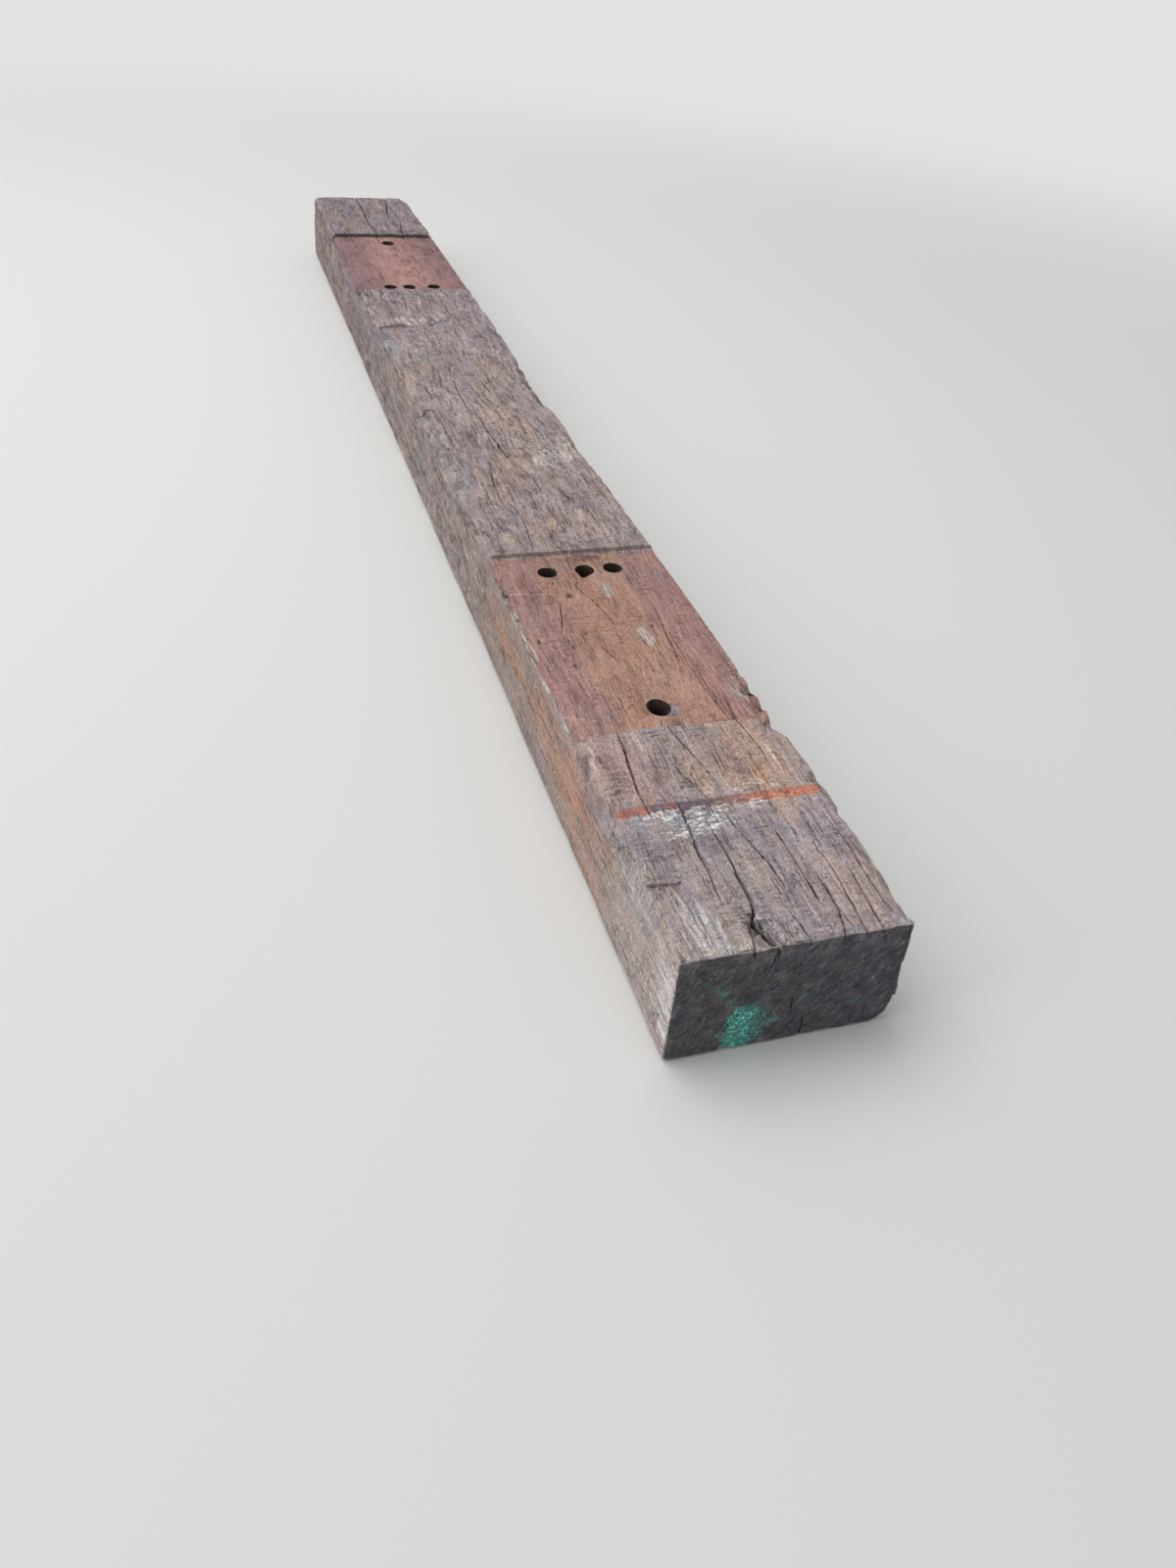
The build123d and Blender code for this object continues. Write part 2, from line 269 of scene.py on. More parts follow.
def stations():
    """Places along X whose spacing is one over the density wanted there: the density is
    summed up, and the sum is cut into equal steps. Shoulders and ends get their own."""
    probe = np.linspace(-HALF_LENGTH, HALF_LENGTH, 5201)
    density = FAR_DENSITY + (NEAR_DENSITY - FAR_DENSITY) * ease(0.42, 0.56, probe)
    summed = np.concatenate([[0], np.cumsum((density[1:] + density[:-1]) / 2 * np.diff(probe))])
    plain = np.interp(np.linspace(0, summed[-1], int(summed[-1])), summed, probe)
    inner = [SEAT_INNER + offset for offset in (-BESIDE, 0, SAW_RUN, 0.004, ADZE_RUN)]
    outer = [SEAT_OUTER - OUTER_RUN - 0.003, SEAT_OUTER - OUTER_RUN, SEAT_OUTER - OUTER_RUN / 2,
             SEAT_OUTER, SEAT_OUTER + BESIDE]
    shoulders = inner + outer
    steps = [x * MM + offset for x in STEP_PLACES for offset in (-0.0018, -0.0006, 0.0002, 0.0020)]
    fixed = np.concatenate([shoulders, np.negative(shoulders), steps,
                            HALF_LENGTH - NEAR_END_STATIONS, FAR_END_STATIONS - HALF_LENGTH])
    apart = np.abs(plain[:, None] - fixed[None, :]).min(axis=1)
    return np.sort(np.concatenate([plain[apart > CLOSEST], fixed]))


X = stations()
print(f"{len(X)} stations, {np.diff(X).min() * 1000:.1f} to {np.diff(X).max() * 1000:.1f} mm apart")

# %% [markdown]
# ## The section
# A sawn baulk isn't a clean rectangle. Its sides lean in above the foot, one foot edge
# kept some of the log's round surface, and every long edge is worn by a different amount
# from place to place. The legs below are how far each rounding reaches along both faces.

# %% Worn edges
# Each is (along, leg of the rounding), both in millimetres.
TOP_LEFT_WEAR = [
    (-1300, 12), (-1190, 6), (-970, 9), (-700, 6), (-520, 9), (-330, 8), (-120, 5), (50, 13),
    (95, 15), (150, 6), (280, 11), (350, 12), (430, 5), (555, 10), (612, 6), (673, 4), (727, 11),
    (820, 5), (891, 15), (917, 9), (962, 20), (990, 16), (1020, 7), (1100, 9), (1152, 11),
    (1192, 7), (1242, 6), (1300, 2.5)]
TOP_RIGHT_WEAR = [
    (-1300, 24), (-1260, 14), (-1180, 10), (-960, 6), (-560, 8), (-300, 7), (-170, 13), (-90, 20),
    (-40, 28), (30, 24), (90, 9), (150, 8), (235, 17), (330, 6), (552, 6), (640, 4), (800, 5),
    (854, 8), (900, 5), (950, 9), (970, 22), (985, 24), (1006, 7), (1060, 4), (1200, 4), (1253, 5),
    (1285, 6), (1300, 3)]
FOOT_LEFT_WEAR = [(-1300, 7), (-800, 9), (-400, 6), (0, 8), (300, 6), (640, 9), (900, 7), (1300, 7)]
FOOT_RIGHT_WEAR = [(-1300, 14), (-1060, 10), (-830, 9), (-590, 13), (-355, 17), (-118, 12),
                   (118, 9), (355, 12), (590, 16), (830, 14), (1060, 18), (1300, 24)]
ROUND_SET_IN = 1.25  # a rounding's centre stands this many legs in from both faces


def leg_at(wear, x):
    """A size that changes along the timber, at each x in metres, straight between its rows."""
    along, legs = np.array(wear).T * MM
    return np.interp(x, along, legs)


def side_at(side, z, x):
    """Where the sawn side stands across the timber at height z: upright at the foot, and
    leaning in evenly above it."""
    lean = leg_at(LEAN_LEFT if side < 0 else LEAN_RIGHT, x)
    risen = np.clip((z - LEAN_START) / (HEIGHT - LEAN_START), 0, 1)
    return side * (HALF_WIDTH - lean * risen)


def round_edge(x, y, z, side, corner_z, wear):
    """Pulls what stands outside an edge's quarter circle back onto it, towards the
    circle's centre. The circle meets both faces one leg from the corner."""
    leg = leg_at(wear, x)
    inward = 1 if corner_z == 0 else -1
    set_in = ROUND_SET_IN * leg
    radius = np.sqrt(set_in**2 + (set_in - leg) ** 2)
    across = side_at(side, corner_z + inward * leg, x) - side * set_in
    up = corner_z + inward * set_in
    dy, dz = y - across, z - up
    far = np.hypot(dy, dz)
    outside = (dy * side > 0) & (dz * inward < 0) & (far > radius)
    pull = np.where(outside, radius / np.maximum(far, 1e-9), 1)
    return across + dy * pull, up + dz * pull


def seat_drop(x):
    """How far the adzed seats lie below the top at each x. The inner shoulder is a short
    steep saw cut and a gentle adzed run below it, the outer one slopes evenly."""
    reach = [SEAT_INNER, SEAT_INNER + SAW_RUN, SEAT_INNER + ADZE_RUN, SEAT_OUTER - OUTER_RUN, SEAT_OUTER]
    return np.interp(np.abs(x), reach, [0, SAW_DEPTH, SEAT_DEPTH, SEAT_DEPTH, 0])


def edge_crowded(cells):
    """Shares from 0 to 1 that crowd towards both ends: v - 0.4 sin(2 pi v) / (2 pi)."""
    v = np.linspace(0, 1, cells + 1)
    return v - 0.4 * np.sin(2 * np.pi * v) / (2 * np.pi)


print(f"seats drop by {seat_drop(np.array([SEAT_MIDDLE]))[0] * 1000:.0f} mm in the middle")

# %% [markdown]
# ## The section at every station
# Each station's outline is drawn as a closed ring: across the top, round the right edge,
# down that side, along the foot and up again. All rings have the same number of points,
# so that neighbours join into plain four-sided faces.

# %% Rings of points
def rings(x):
    """The section at every station as one loop of points, (stations, loop, 3): the top
    from left to right, the right side down, the foot back and the left side up."""
    top_z = HEIGHT - seat_drop(x)

    def spread(start, end, shares):
        return start[:, None] + (end - start)[:, None] * shares[None, :]

    left_top, right_top = side_at(-1, top_z, x), side_at(1, top_z, x)
    top_y = gather_lines(x, spread(left_top, right_top, edge_crowded(TOP_CELLS)))
    top = np.stack([top_y, np.repeat(top_z[:, None], top_y.shape[1], axis=1)], axis=-1)
    down = spread(top_z, 0 * top_z, edge_crowded(SIDE_CELLS))
    right = np.stack([side_at(1, down, x[:, None]), down], axis=-1)
    left = np.stack([side_at(-1, down[:, ::-1], x[:, None]), down[:, ::-1]], axis=-1)
    foot_y = np.tile(np.linspace(HALF_WIDTH, -HALF_WIDTH, FOOT_CELLS + 1), (len(x), 1))
    foot = np.stack([foot_y, 0 * foot_y], axis=-1)
    loop = np.concatenate([part[:, :-1] for part in (top, right, foot, left)], axis=1)
    along = np.repeat(x[:, None], loop.shape[1], axis=1)
    y, z = loop[..., 0], loop[..., 1]
    for side, corner_z, wear in (
        (-1, HEIGHT, TOP_LEFT_WEAR), (1, HEIGHT, TOP_RIGHT_WEAR),
        (-1, 0, FOOT_LEFT_WEAR), (1, 0, FOOT_RIGHT_WEAR),
    ):
        y, z = round_edge(along, y, z, side, corner_z, wear)
    return np.stack([along, y, z], axis=-1)


in_middle = rings(np.array([SEAT_MIDDLE]))
print(f"the section in a seat's middle is {np.ptp(in_middle[..., 2]) * 1000:.0f} mm high")

# %% [markdown]
# ## Rounded ends
# Knocks rounded the edges of both ends. The last few rings are drawn in towards the middle
# of the section, each by as much as a quarter circle asks at its distance from the end.

# %% Rounded ends
# How far each end's edges are rounded in millimetres: the top as (across, radius), the foot,
# then the left and the right upright edge
NEAR_ROUNDING = [(-120, 3), (-60, 4), (0, 4), (60, 4), (120, 3)], 4, 2.5, 4
FAR_ROUNDING = [(-120, 20), (-90, 11), (-40, 7), (20, 9), (80, 8), (120, 18)], 5, 16, 18


def rounding(rows, y, out):
    """The radius at each point of a ring: the squares of the outward direction's parts are
    the shares of the top or foot value and of the left or right one."""
    top, foot, left, right = rows
    across, radii = np.array(top).T * MM
    flat = np.where(out[..., 1] > 0, np.interp(y, across, radii), foot * MM)
    upright = np.where(out[..., 0] < 0, left * MM, right * MM)
    return out[..., 1] ** 2 * flat + out[..., 0] ** 2 * upright


def round_ends(loops):
    """Draws the last few rings in so that the ends' edges are rounded: at depth d from the
    end a ring comes in by r - sqrt(r^2 - (r - d)^2), towards the middle of the section."""
    x, y = loops[..., 0], loops[..., 1]
    turn = np.roll(loops, -1, axis=1) - np.roll(loops, 1, axis=1)
    out = np.stack([-turn[..., 2], turn[..., 1]], axis=-1)
    out /= np.linalg.norm(out, axis=-1, keepdims=True) + 1e-12
    radius = np.where(x > 0, rounding(NEAR_ROUNDING, y, out), rounding(FAR_ROUNDING, y, out))
    radius *= 1 + 0.25 * noise(loops, (0.05, 0.035, 0.035), 21)
    depth = HALF_LENGTH - np.abs(x)
    reach = np.clip(radius - depth, 0, None)
    inset = radius - np.sqrt(np.clip(radius**2 - reach**2, 0, None))
    rounded = loops.copy()
    rounded[..., 1:] -= out * np.where(depth < radius, inset, 0)[..., None]
    return rounded


loops = round_ends(rings(X))
print(f"rings of {loops.shape[1]} points")

# %% [markdown]
# ## The ends
# Each end is a grid stretched between the four sides of its last ring, which is Coons'
# rule: add the blend of top and foot to the blend of left and right, and take off the
# blend of the four corners. Its columns carry on from the top's, so a split that runs out
# through the end opens there as well.

# %% End grids and faces
RING = loops.shape[1]
TOP_RIGHT = TOP_CELLS
FOOT_RIGHT = TOP_CELLS + SIDE_CELLS
FOOT_LEFT = TOP_CELLS + SIDE_CELLS + FOOT_CELLS


def end_grid(ring):
    """The inner points of one end, (rows, columns, 3), by Coons' rule on its last ring."""
    top = ring[: TOP_RIGHT + 1]
    right = ring[TOP_RIGHT : FOOT_RIGHT + 1]
    foot = ring[FOOT_RIGHT : FOOT_LEFT + 1][::-1]
    left = np.concatenate([ring[FOOT_LEFT:], ring[:1]])[::-1]
    fine = np.linspace(0, FOOT_CELLS, TOP_CELLS + 1)
    whole = np.arange(FOOT_CELLS + 1)
    foot = np.stack([np.interp(fine, whole, foot[:, axis]) for axis in range(3)], axis=-1)
    u = ((top[:, 1] - top[0, 1]) / (top[-1, 1] - top[0, 1]))[None, :, None]
    v = np.linspace(0, 1, SIDE_CELLS + 1)[:, None, None]
    blend = (1 - v) * top + v * foot + (1 - u) * left[:, None] + u * right[:, None]
    corners = (1 - u) * (1 - v) * top[0] + u * (1 - v) * top[-1]
    corners = corners + (1 - u) * v * foot[0] + u * v * foot[-1]
    return (blend - corners)[1:-1, 1:-1]


def tube_faces(count):
    """Four-sided faces between each ring and the next, facing out."""
    ring, step = np.meshgrid(np.arange(count - 1), np.arange(RING), indexing="ij")
    ahead = (step + 1) % RING
    return np.stack([ring * RING + step, (ring + 1) * RING + step,
                     (ring + 1) * RING + ahead, ring * RING + ahead], axis=-1).reshape(-1, 4)


def end_faces(ring_start, inner_start, facing):
    """Faces of one end. Rows join the side points to the inner ones, and the last row
    goes from the top's columns to the foot's half as many, three triangles to a pair."""
    number = np.empty((SIDE_CELLS, TOP_CELLS + 1), dtype=int)
    number[0] = ring_start + np.arange(TOP_CELLS + 1)
    rows = np.arange(1, SIDE_CELLS)
    inner = np.arange((SIDE_CELLS - 1) * (TOP_CELLS - 1)).reshape(SIDE_CELLS - 1, -1)
    number[1:, 1:-1] = inner_start + inner
    number[1:, 0] = ring_start + RING - rows
    number[1:, -1] = ring_start + TOP_RIGHT + rows
    quads = np.stack([number[:-1, :-1], number[1:, :-1], number[1:, 1:], number[:-1, 1:]], axis=-1)
    quads = quads.reshape(-1, 4)
    foot = ring_start + FOOT_LEFT - np.arange(FOOT_CELLS + 1)
    a, b, c = number[-1, 0:-1:2], number[-1, 1::2], number[-1, 2::2]
    fans = np.concatenate([
        np.stack([a, foot[:-1], b], axis=-1),
        np.stack([b, foot[:-1], foot[1:]], axis=-1),
        np.stack([b, foot[1:], c], axis=-1),
    ])
    if facing < 0:
        quads, fans = quads[:, ::-1], fans[:, ::-1]
    return quads, fans


far_grid, near_grid = end_grid(loops[0]).reshape(-1, 3), end_grid(loops[-1]).reshape(-1, 3)
base = np.concatenate([loops.reshape(-1, 3), far_grid, near_grid])
FAR_START = len(X) * RING  # the number of the first inner point of each end
NEAR_START = FAR_START + len(far_grid)
far_quads, far_fans = end_faces(0, FAR_START, -1)
near_quads, near_fans = end_faces(FAR_START - RING, NEAR_START, 1)
quads = np.concatenate([tube_faces(len(X)), far_quads, near_quads])
fans = np.concatenate([far_fans, near_fans])
print(f"{len(base)} points, {2 * len(quads) + len(fans)} triangles")

# %% [markdown]
# ## Which way each point faces
# The relief of a weathered side, a sawn end and a ballast-marked foot are different, and
# they have to run into each other at the edges. The squares of a normal's three parts add
# up to one, so they make good shares for blending.

# %% Normals and shares
def point_normals(points):
    """Every point's outward direction: the sum of its faces' normals, each as long as its
    face is large, made one long."""
    total = np.zeros_like(points)
    for faces in (quads, fans):
        a, b, c = (points[faces[:, k]] for k in (0, 1, 2))
        d = points[faces[:, -1]]
        normal = np.cross(c - a, d - b) if faces.shape[1] == 4 else np.cross(b - a, c - a)
        for k in range(faces.shape[1]):
            for axis in range(3):
                total[:, axis] += np.bincount(faces[:, k], normal[:, axis], len(points))
    return total / (np.linalg.norm(total, axis=1, keepdims=True) + 1e-15)


normals = point_normals(base)
share_end = normals[:, 0] ** 2 * (HALF_LENGTH - np.abs(base[:, 0]) < 0.03)
share_side = normals[:, 1] ** 2
share_top = np.where(normals[:, 2] > 0, 1 - normals[:, 1] ** 2 - share_end, 0)
share_foot = np.where(normals[:, 2] < 0, normals[:, 2] ** 2, 0)
in_seat = ease(0.5, 1.0, seat_drop(base[:, 0]) / SEAT_DEPTH) * share_top
edge = 1 - np.maximum(np.maximum(share_end, share_side), share_top + share_foot)
print(f"{(share_end > 0.5).sum()} points face an end, {(share_top > 0.5).sum()} face up")

# %% [markdown]
# ## Relief
# All of it goes inwards, because the sawn size is the largest the timber ever was. The
# top lost its soft early wood in long furrows, the sides are furred and streaked, the
# ends keep the slanting marks of the saw, and the foot is dented all over by ballast.

# %% Bowls, for dents, chips and patches
def bowls(points, rows, ragged=0.0, seed=40):
    """The highest of many bowls at each point. A row is a place (x, y, z), how far the bowl
    reaches along each axis and how high it is, all in millimetres. A bowl falls off as
    1 - d^2, where d is the distance in reaches. Ragged bowls have noise added to d."""
    pressed = np.zeros(len(points))
    rough = ragged * noise(points, (0.011, 0.009, 0.009), seed) if ragged else 0 * pressed
    for x, y, z, reach_x, reach_y, reach_z, height in np.asarray(rows, dtype=float) * MM:
        near = np.flatnonzero(np.abs(points[:, 0] - x) < reach_x * 1.5)  # ragged ones reach past 1
        offset = (points[near] - (x, y, z)) / (reach_x, reach_y, reach_z)
        distance = np.linalg.norm(offset, axis=1) + rough[near]
        pressed[near] = np.maximum(pressed[near], height * np.clip(1 - distance**2, 0, 1))
    return pressed


def scattered(count, seed, low_corner, high_corner, reach, height):
    """Rows for bowls at random places in a box, all in millimetres, with random reaches,
    a little longer one way than the other, and random heights."""
    rng = np.random.default_rng(seed)
    place = rng.uniform(low_corner, high_corner, (count, 3))
    size = rng.uniform(*reach, (count, 1)) * rng.uniform(0.6, 1.2, (count, 3))
    return np.hstack([place, size, rng.uniform(*height, (count, 1))])


deepest = bowls(np.zeros((1, 3)), [(0, 0, 0, 5, 5, 5, 3)])[0]
print(f"a bowl of 3 mm measures {deepest * 1000:.1f} mm in its middle")

# %% [markdown]
# ## Dents and chips
# Dents are scattered at random, most of them over the foot, where ballast bit in. Chips are
# pieces missing from the edges, and each stands where it was measured.

# %% Dents and chips
L, W, H = HALF_LENGTH / MM, HALF_WIDTH / MM, HEIGHT / MM
DENTS = [
    scattered(620, 31, (-L, 24 - W, 0), (L, W, 0), (10, 25), (1.2, 5.5)),
    scattered(150, 32, (-L, -W, 26), (L, -W, 108), (5, 14), (0.8, 2.6)),
    scattered(150, 33, (-L, W, 26), (L, W, 100), (5, 14), (0.8, 2.6)),
    scattered(60, 34, (L, -W, 5), (L, W, 125), (5, 12), (0.6, 1.8)),
    scattered(60, 35, (-L, -W, 5), (-L, W, 125), (5, 12), (0.6, 2.2)),
    scattered(110, 36, (-560, -W, H), (560, W, H), (4, 10), (0.4, 1.4)),
    scattered(60, 37, (-L, -W, H), (L, -W, H), (4, 11), (1.0, 3.4)),
    scattered(70, 38, (-L, W - 8, H), (L, W - 8, H), (4, 13), (1.0, 4.2)),
]
# Wood broken off the edges, each as (x, y, z, reaches, depth)
CHIPS = [
    # left edge: by the near seat, along it, and at its outer shoulder
    (652, -118, 129, 11, 13, 12, 10), (604, -118, 130, 7, 7, 12, 6), (634, -119, 130, 8, 5, 8, 4),
    (682, -119, 129, 16, 7, 9, 5), (718, -119, 129, 17, 6, 9, 5), (752, -119, 129, 15, 5, 9, 4),
    (790, -119, 130, 22, 6, 8, 4), (832, -119, 130, 16, 5, 8, 4), (1118, -120, 106, 13, 6, 15, 6),
    (1094, -120, 96, 8, 5, 12, 4.5), (1142, -120, 112, 9, 5, 9, 5), (1066, -120, 110, 11, 5, 12, 4),
    (1180, -120, 104, 9, 5, 10, 3.5), (1040, -120, 98, 9, 4, 12, 3), (893, -118, 131, 22, 9, 10, 4),
    (962, -118, 134, 18, 14, 16, 6), (1010, -118, 128, 16, 5, 20, 3),
    (1152, -118, 133, 15, 7, 18, 4), (1246, -120, 128, 20, 5, 16, 3),
    # left edge, between the seats
    (70, -112, 135, 12, 12, 14, 8), (20, -116, 135, 12, 9, 16, 6), (-60, -119, 135, 20, 8, 14, 5),
    (160, -118, 135, 24, 7, 10, 4), (215, -119, 134, 14, 6, 14, 5),
    (-300, -118, 135, 26, 10, 18, 6), (-480, -112, 134, 16, 16, 16, 8),
    (430, -119, 134, 20, 6, 12, 4), (50, -118, 135, 18, 16, 14, 7), (92, -118, 135, 17, 24, 12, 6),
    (278, -119, 135, 9, 14, 12, 6), (348, -119, 135, 14, 14, 12, 6),
    (-180, -119, 135, 22, 7, 12, 4), (-420, -119, 135, 16, 8, 12, 5),
    (-560, -119, 132, 20, 7, 14, 4),
    # right edge: the broken stretch between the seats, then the near seat and the near end
    (-150, 113, 135, 24, 12, 22, 9), (-95, 112, 135, 30, 18, 28, 12),
    (-40, 112, 135, 32, 23, 34, 15), (22, 112, 135, 30, 20, 30, 13), (70, 113, 135, 20, 11, 20, 7),
    (236, 113, 135, 26, 13, 18, 8), (-300, 113, 135, 20, 8, 16, 5), (-455, 113, 135, 26, 9, 15, 6),
    (872, 114, 132, 11, 15, 12, 8), (905, 114, 130, 13, 12, 14, 7), (938, 112, 130, 18, 12, 15, 7),
    (975, 110, 135, 17, 17, 18, 9), (1086, 114, 132, 18, 7, 18, 5), (1140, 115, 130, 12, 6, 14, 4),
    (1256, 114, 133, 16, 8, 14, 3), (1284, 114, 133, 11, 8, 12, 3.5),
    # the two seats' far corners and the far end
    (-965, 112, 134, 20, 14, 14, 7), (-965, -118, 134, 16, 12, 14, 6),
    (-1292, 112, 132, 26, 22, 30, 12), (-1296, -118, 134, 16, 12, 16, 6),
    (-1180, 112, 134, 34, 9, 18, 6),
    # right foot and the near end's dent at the top right
    (1280, 118, 8, 40, 14, 26, 6), (1298, 96, 122, 9, 16, 9, 2.5),
]
print(f"{sum(len(rows) for rows in DENTS)} dents and {len(CHIPS)} chips")

# %% [markdown]
# ## Furrows
# Between the big marks the wood is never flat. Rain washes the soft spring wood out into
# furrows along the grain. Long lattice boxes make them, bent a little sideways so that they
# wander as fibres do. The seats, the sides and the foot each have furrows of their own.

# %% Furrows
bend = 0.006 * noise(base, (0.35, 1, 1), 5)
grain_place = base + np.stack([0 * bend, bend, 0 * bend], axis=-1)
near_right = ease(1.05, 1.28, base[:, 0]) * ease(-0.02, 0.05, base[:, 1])

furrow = 0.8 * MM * (0.5 + 0.5 * layered(grain_place, (0.24, 0.022, 1), 11))
furrow += 0.8 * MM * np.abs(layered(grain_place, (0.13, 0.0075, 1), 12, 2)) * (1 + 0.9 * near_right)
flake_edge = layered(grain_place, (0.055, 0.011, 1), 24, 2)
furrow += 0.9 * MM * ease(0.14, 0.24, flake_edge) * (0.6 + near_right)
furrow += 1.6 * MM * near_right * np.abs(noise(grain_place, (0.09, 0.0052, 1), 28)) ** 1.5
furrow += 0.35 * MM * np.clip(noise(base, (0.010, 0.03, 1), 13), 0, 1)
seat_relief = 0.5 * MM * (0.5 + 0.5 * layered(grain_place, (0.07, 0.035, 1), 14))
seat_relief += 0.3 * MM * np.abs(noise(grain_place, (0.08, 0.006, 1), 15))
side_relief = 1.2 * MM * (0.5 + 0.5 * layered(base, (0.20, 1, 0.03), 16))
side_relief += 0.9 * MM * np.abs(layered(base, (0.12, 1, 0.009), 17, 2))
ploughed = ease(-0.75, -0.55, base[:, 0]) * ease(0.52, 0.36, base[:, 0]) * (base[:, 1] < 0)
side_relief += 3.0 * MM * ploughed * np.abs(layered(base, (0.15, 1, 0.020), 29, 2)) ** 1.4
side_relief += 0.8 * MM * ease(0.12, 0.24, layered(base, (0.05, 1, 0.012), 25, 2))
foot_relief = 1.0 * MM * (0.5 + 0.5 * layered(base, (0.09, 0.05, 1), 18))
print(f"furrows up to {furrow.max() * 1000:.1f} mm, on the sides {side_relief.max() * 1000:.1f} mm")

# %% [markdown]
# ## Saw marks and crumbled edges
# The saw crossed the ends at a slant and left ridges there. The edges crumble in clusters,
# and less near the foot.

# %% Saw marks and crumbled edges
SAW_SLANT = math.radians(52)
saw_place = np.stack([
    base[:, 0] * 0,
    base[:, 1] * math.cos(SAW_SLANT) + base[:, 2] * math.sin(SAW_SLANT),
    base[:, 2] * math.cos(SAW_SLANT) - base[:, 1] * math.sin(SAW_SLANT),
], axis=-1)
end_relief = 0.9 * MM * (0.5 + 0.5 * layered(saw_place, (1, 0.040, 0.007), 19))
end_relief += 0.6 * MM * np.abs(layered(saw_place, (1, 0.02, 0.004), 20, 2))

crumble = np.clip(layered(base, (0.030, 0.02, 0.02), 23) - 0.10, 0, 1)
low_edge = base[:, 2] < 0.05
edge_wear = np.clip(edge * 3, 0, 1)
edge_relief = 8.0 * MM * crumble * edge_wear * (1 - 0.6 * share_end) * np.where(low_edge, 0.22, 1)
edge_relief += 0.7 * MM * np.abs(noise(base, (0.012, 0.006, 0.006), 26)) * edge_wear
print(f"ends up to {end_relief.max() * 1000:.1f} mm, edges up to {edge_relief.max() * 1000:.1f} mm")

# %% [markdown]
# ## Torn strips and a lost piece
# In a few places a strip of fibres tore out of the top and left a step across the grain, and
# beside the main split a three-cornered piece is missing at the near end.

# %% Torn strips and a lost piece
def step_share(index, points):
    """How much of a step's depth there is across the timber: 1 at its left end, less and
    less to the right, and 0 beyond both ends."""
    start, end = STEPS[index][0][0][1], STEPS[index][0][-1][1]
    y = points[:, 1] / MM
    fading = 1 - 0.6 * ease(start + 0.2 * (end - start), start + 0.7 * (end - start), y)
    return ease(start - 3, start + 3, y) * (1 - ease(end - 9, end, y)) * fading * (share_top > 0.15)


for index, (x, (_, depth, _)) in enumerate(zip(STEP_PLACES, STEPS)):
    past = base[:, 0] - x * MM
    ramp = np.where(past > 0, np.clip(1 - past / 0.024, 0, 1), np.clip(1 + past / 0.0006, 0, 1))
    furrow = furrow + depth * MM * ramp * step_share(index, base)

# The three-cornered piece that broke out beside the main split: where it starts, how deep it
# went, and where its left and its right side ran
LOST_FROM, LOST_DEPTH = 1.264, 0.0062
lost_left = np.interp(base[:, 0], (LOST_FROM, HALF_LENGTH), (-0.039, -0.0475))
lost_right = np.interp(base[:, 0], (LOST_FROM, 1.284, HALF_LENGTH), (-0.029, -0.020, -0.010))
lost = ease(0, 0.0012, base[:, 1] - lost_left) * ease(0, 0.016, lost_right - base[:, 1])
lost *= ease(LOST_FROM - 0.001, LOST_FROM + 0.003, base[:, 0]) * (share_top > 0.15)
furrow = furrow + lost * (LOST_DEPTH + 1.2 * MM * noise(base, (0.03, 0.0035, 1), 27))
print(f"{len(STEPS)} steps, and {(lost > 0.5).sum()} points in the lost piece")

# %% [markdown]
# ## All relief together
# Each face's relief counts by a point's share of that face, so that it fades out round the
# edges. Dents and chips are added last, wherever they lie.

# %% All relief together
top_or_seat = furrow * (1 - in_seat) + seat_relief * in_seat
relief = (share_top * top_or_seat + share_side * side_relief
          + share_foot * foot_relief + share_end * end_relief + edge_relief)
relief = relief + bowls(base, np.vstack(DENTS), 0.25, 41)
relief = relief + bowls(base, CHIPS, 0.45, 42)
print(f"relief up to {relief.max() * 1000:.1f} mm, {relief.mean() * 1000:.2f} mm on average")

# %% [markdown]
# ## Crumbling shoulders
# The adze left the seats' shoulders straight, but the short fibres above them broke away.
# The points near a shoulder are shifted along the timber by a noise that depends on how
# far across they are, so that its line wavers, and steps at a few of the splits.

# %% Shifting the shoulders
# Each shoulder's place in metres, and by how many millimetres its line strays
SHOULDERS = [(SEAT_INNER, 0.4), (SEAT_OUTER, 1.8), (-SEAT_INNER, 0.8), (-SEAT_OUTER, 1.2)]
SHOULDER_REACH = 0.014  # how far along the timber the wood follows that line
JAGS = [(-8, 2.0), (78, 3.0), (-69, -3.0)]  # steps in the near outer shoulder: (across, by)


def waver(y, seed, size):
    """How far a shoulder's line strays along the timber, across it."""
    spot = np.stack([y, 0 * y, 0 * y], axis=-1)
    return size * MM * (noise(spot, (0.021, 1, 1), seed) + 0.6 * noise(spot, (0.006, 1, 1), seed + 1))


shift = np.zeros(len(base))
upper = base[:, 2] > 0.1
for index, (place, size) in enumerate(SHOULDERS):
    line = waver(base[:, 1], 50 + 3 * index, size)
    if place == SEAT_OUTER:
        for across, by in JAGS:
            line = line + by * MM * ease(across * MM - 0.002, across * MM + 0.002, base[:, 1])
    shift += line * np.exp(-(((base[:, 0] - place) / SHOULDER_REACH) ** 2)) * upper
for index, (x, (kinks, _, reach)) in enumerate(zip(STEP_PLACES, STEPS)):
    along, across = np.array(kinks).T * MM
    line = np.interp(base[:, 1], across, along) - x * MM + waver(base[:, 1], 80 + 3 * index, reach / 12)
    shift += line * np.exp(-(((base[:, 0] - x * MM) / (reach * MM)) ** 2)) * upper
print(f"points shifted by up to {np.abs(shift).max() * 1000:.1f} mm")
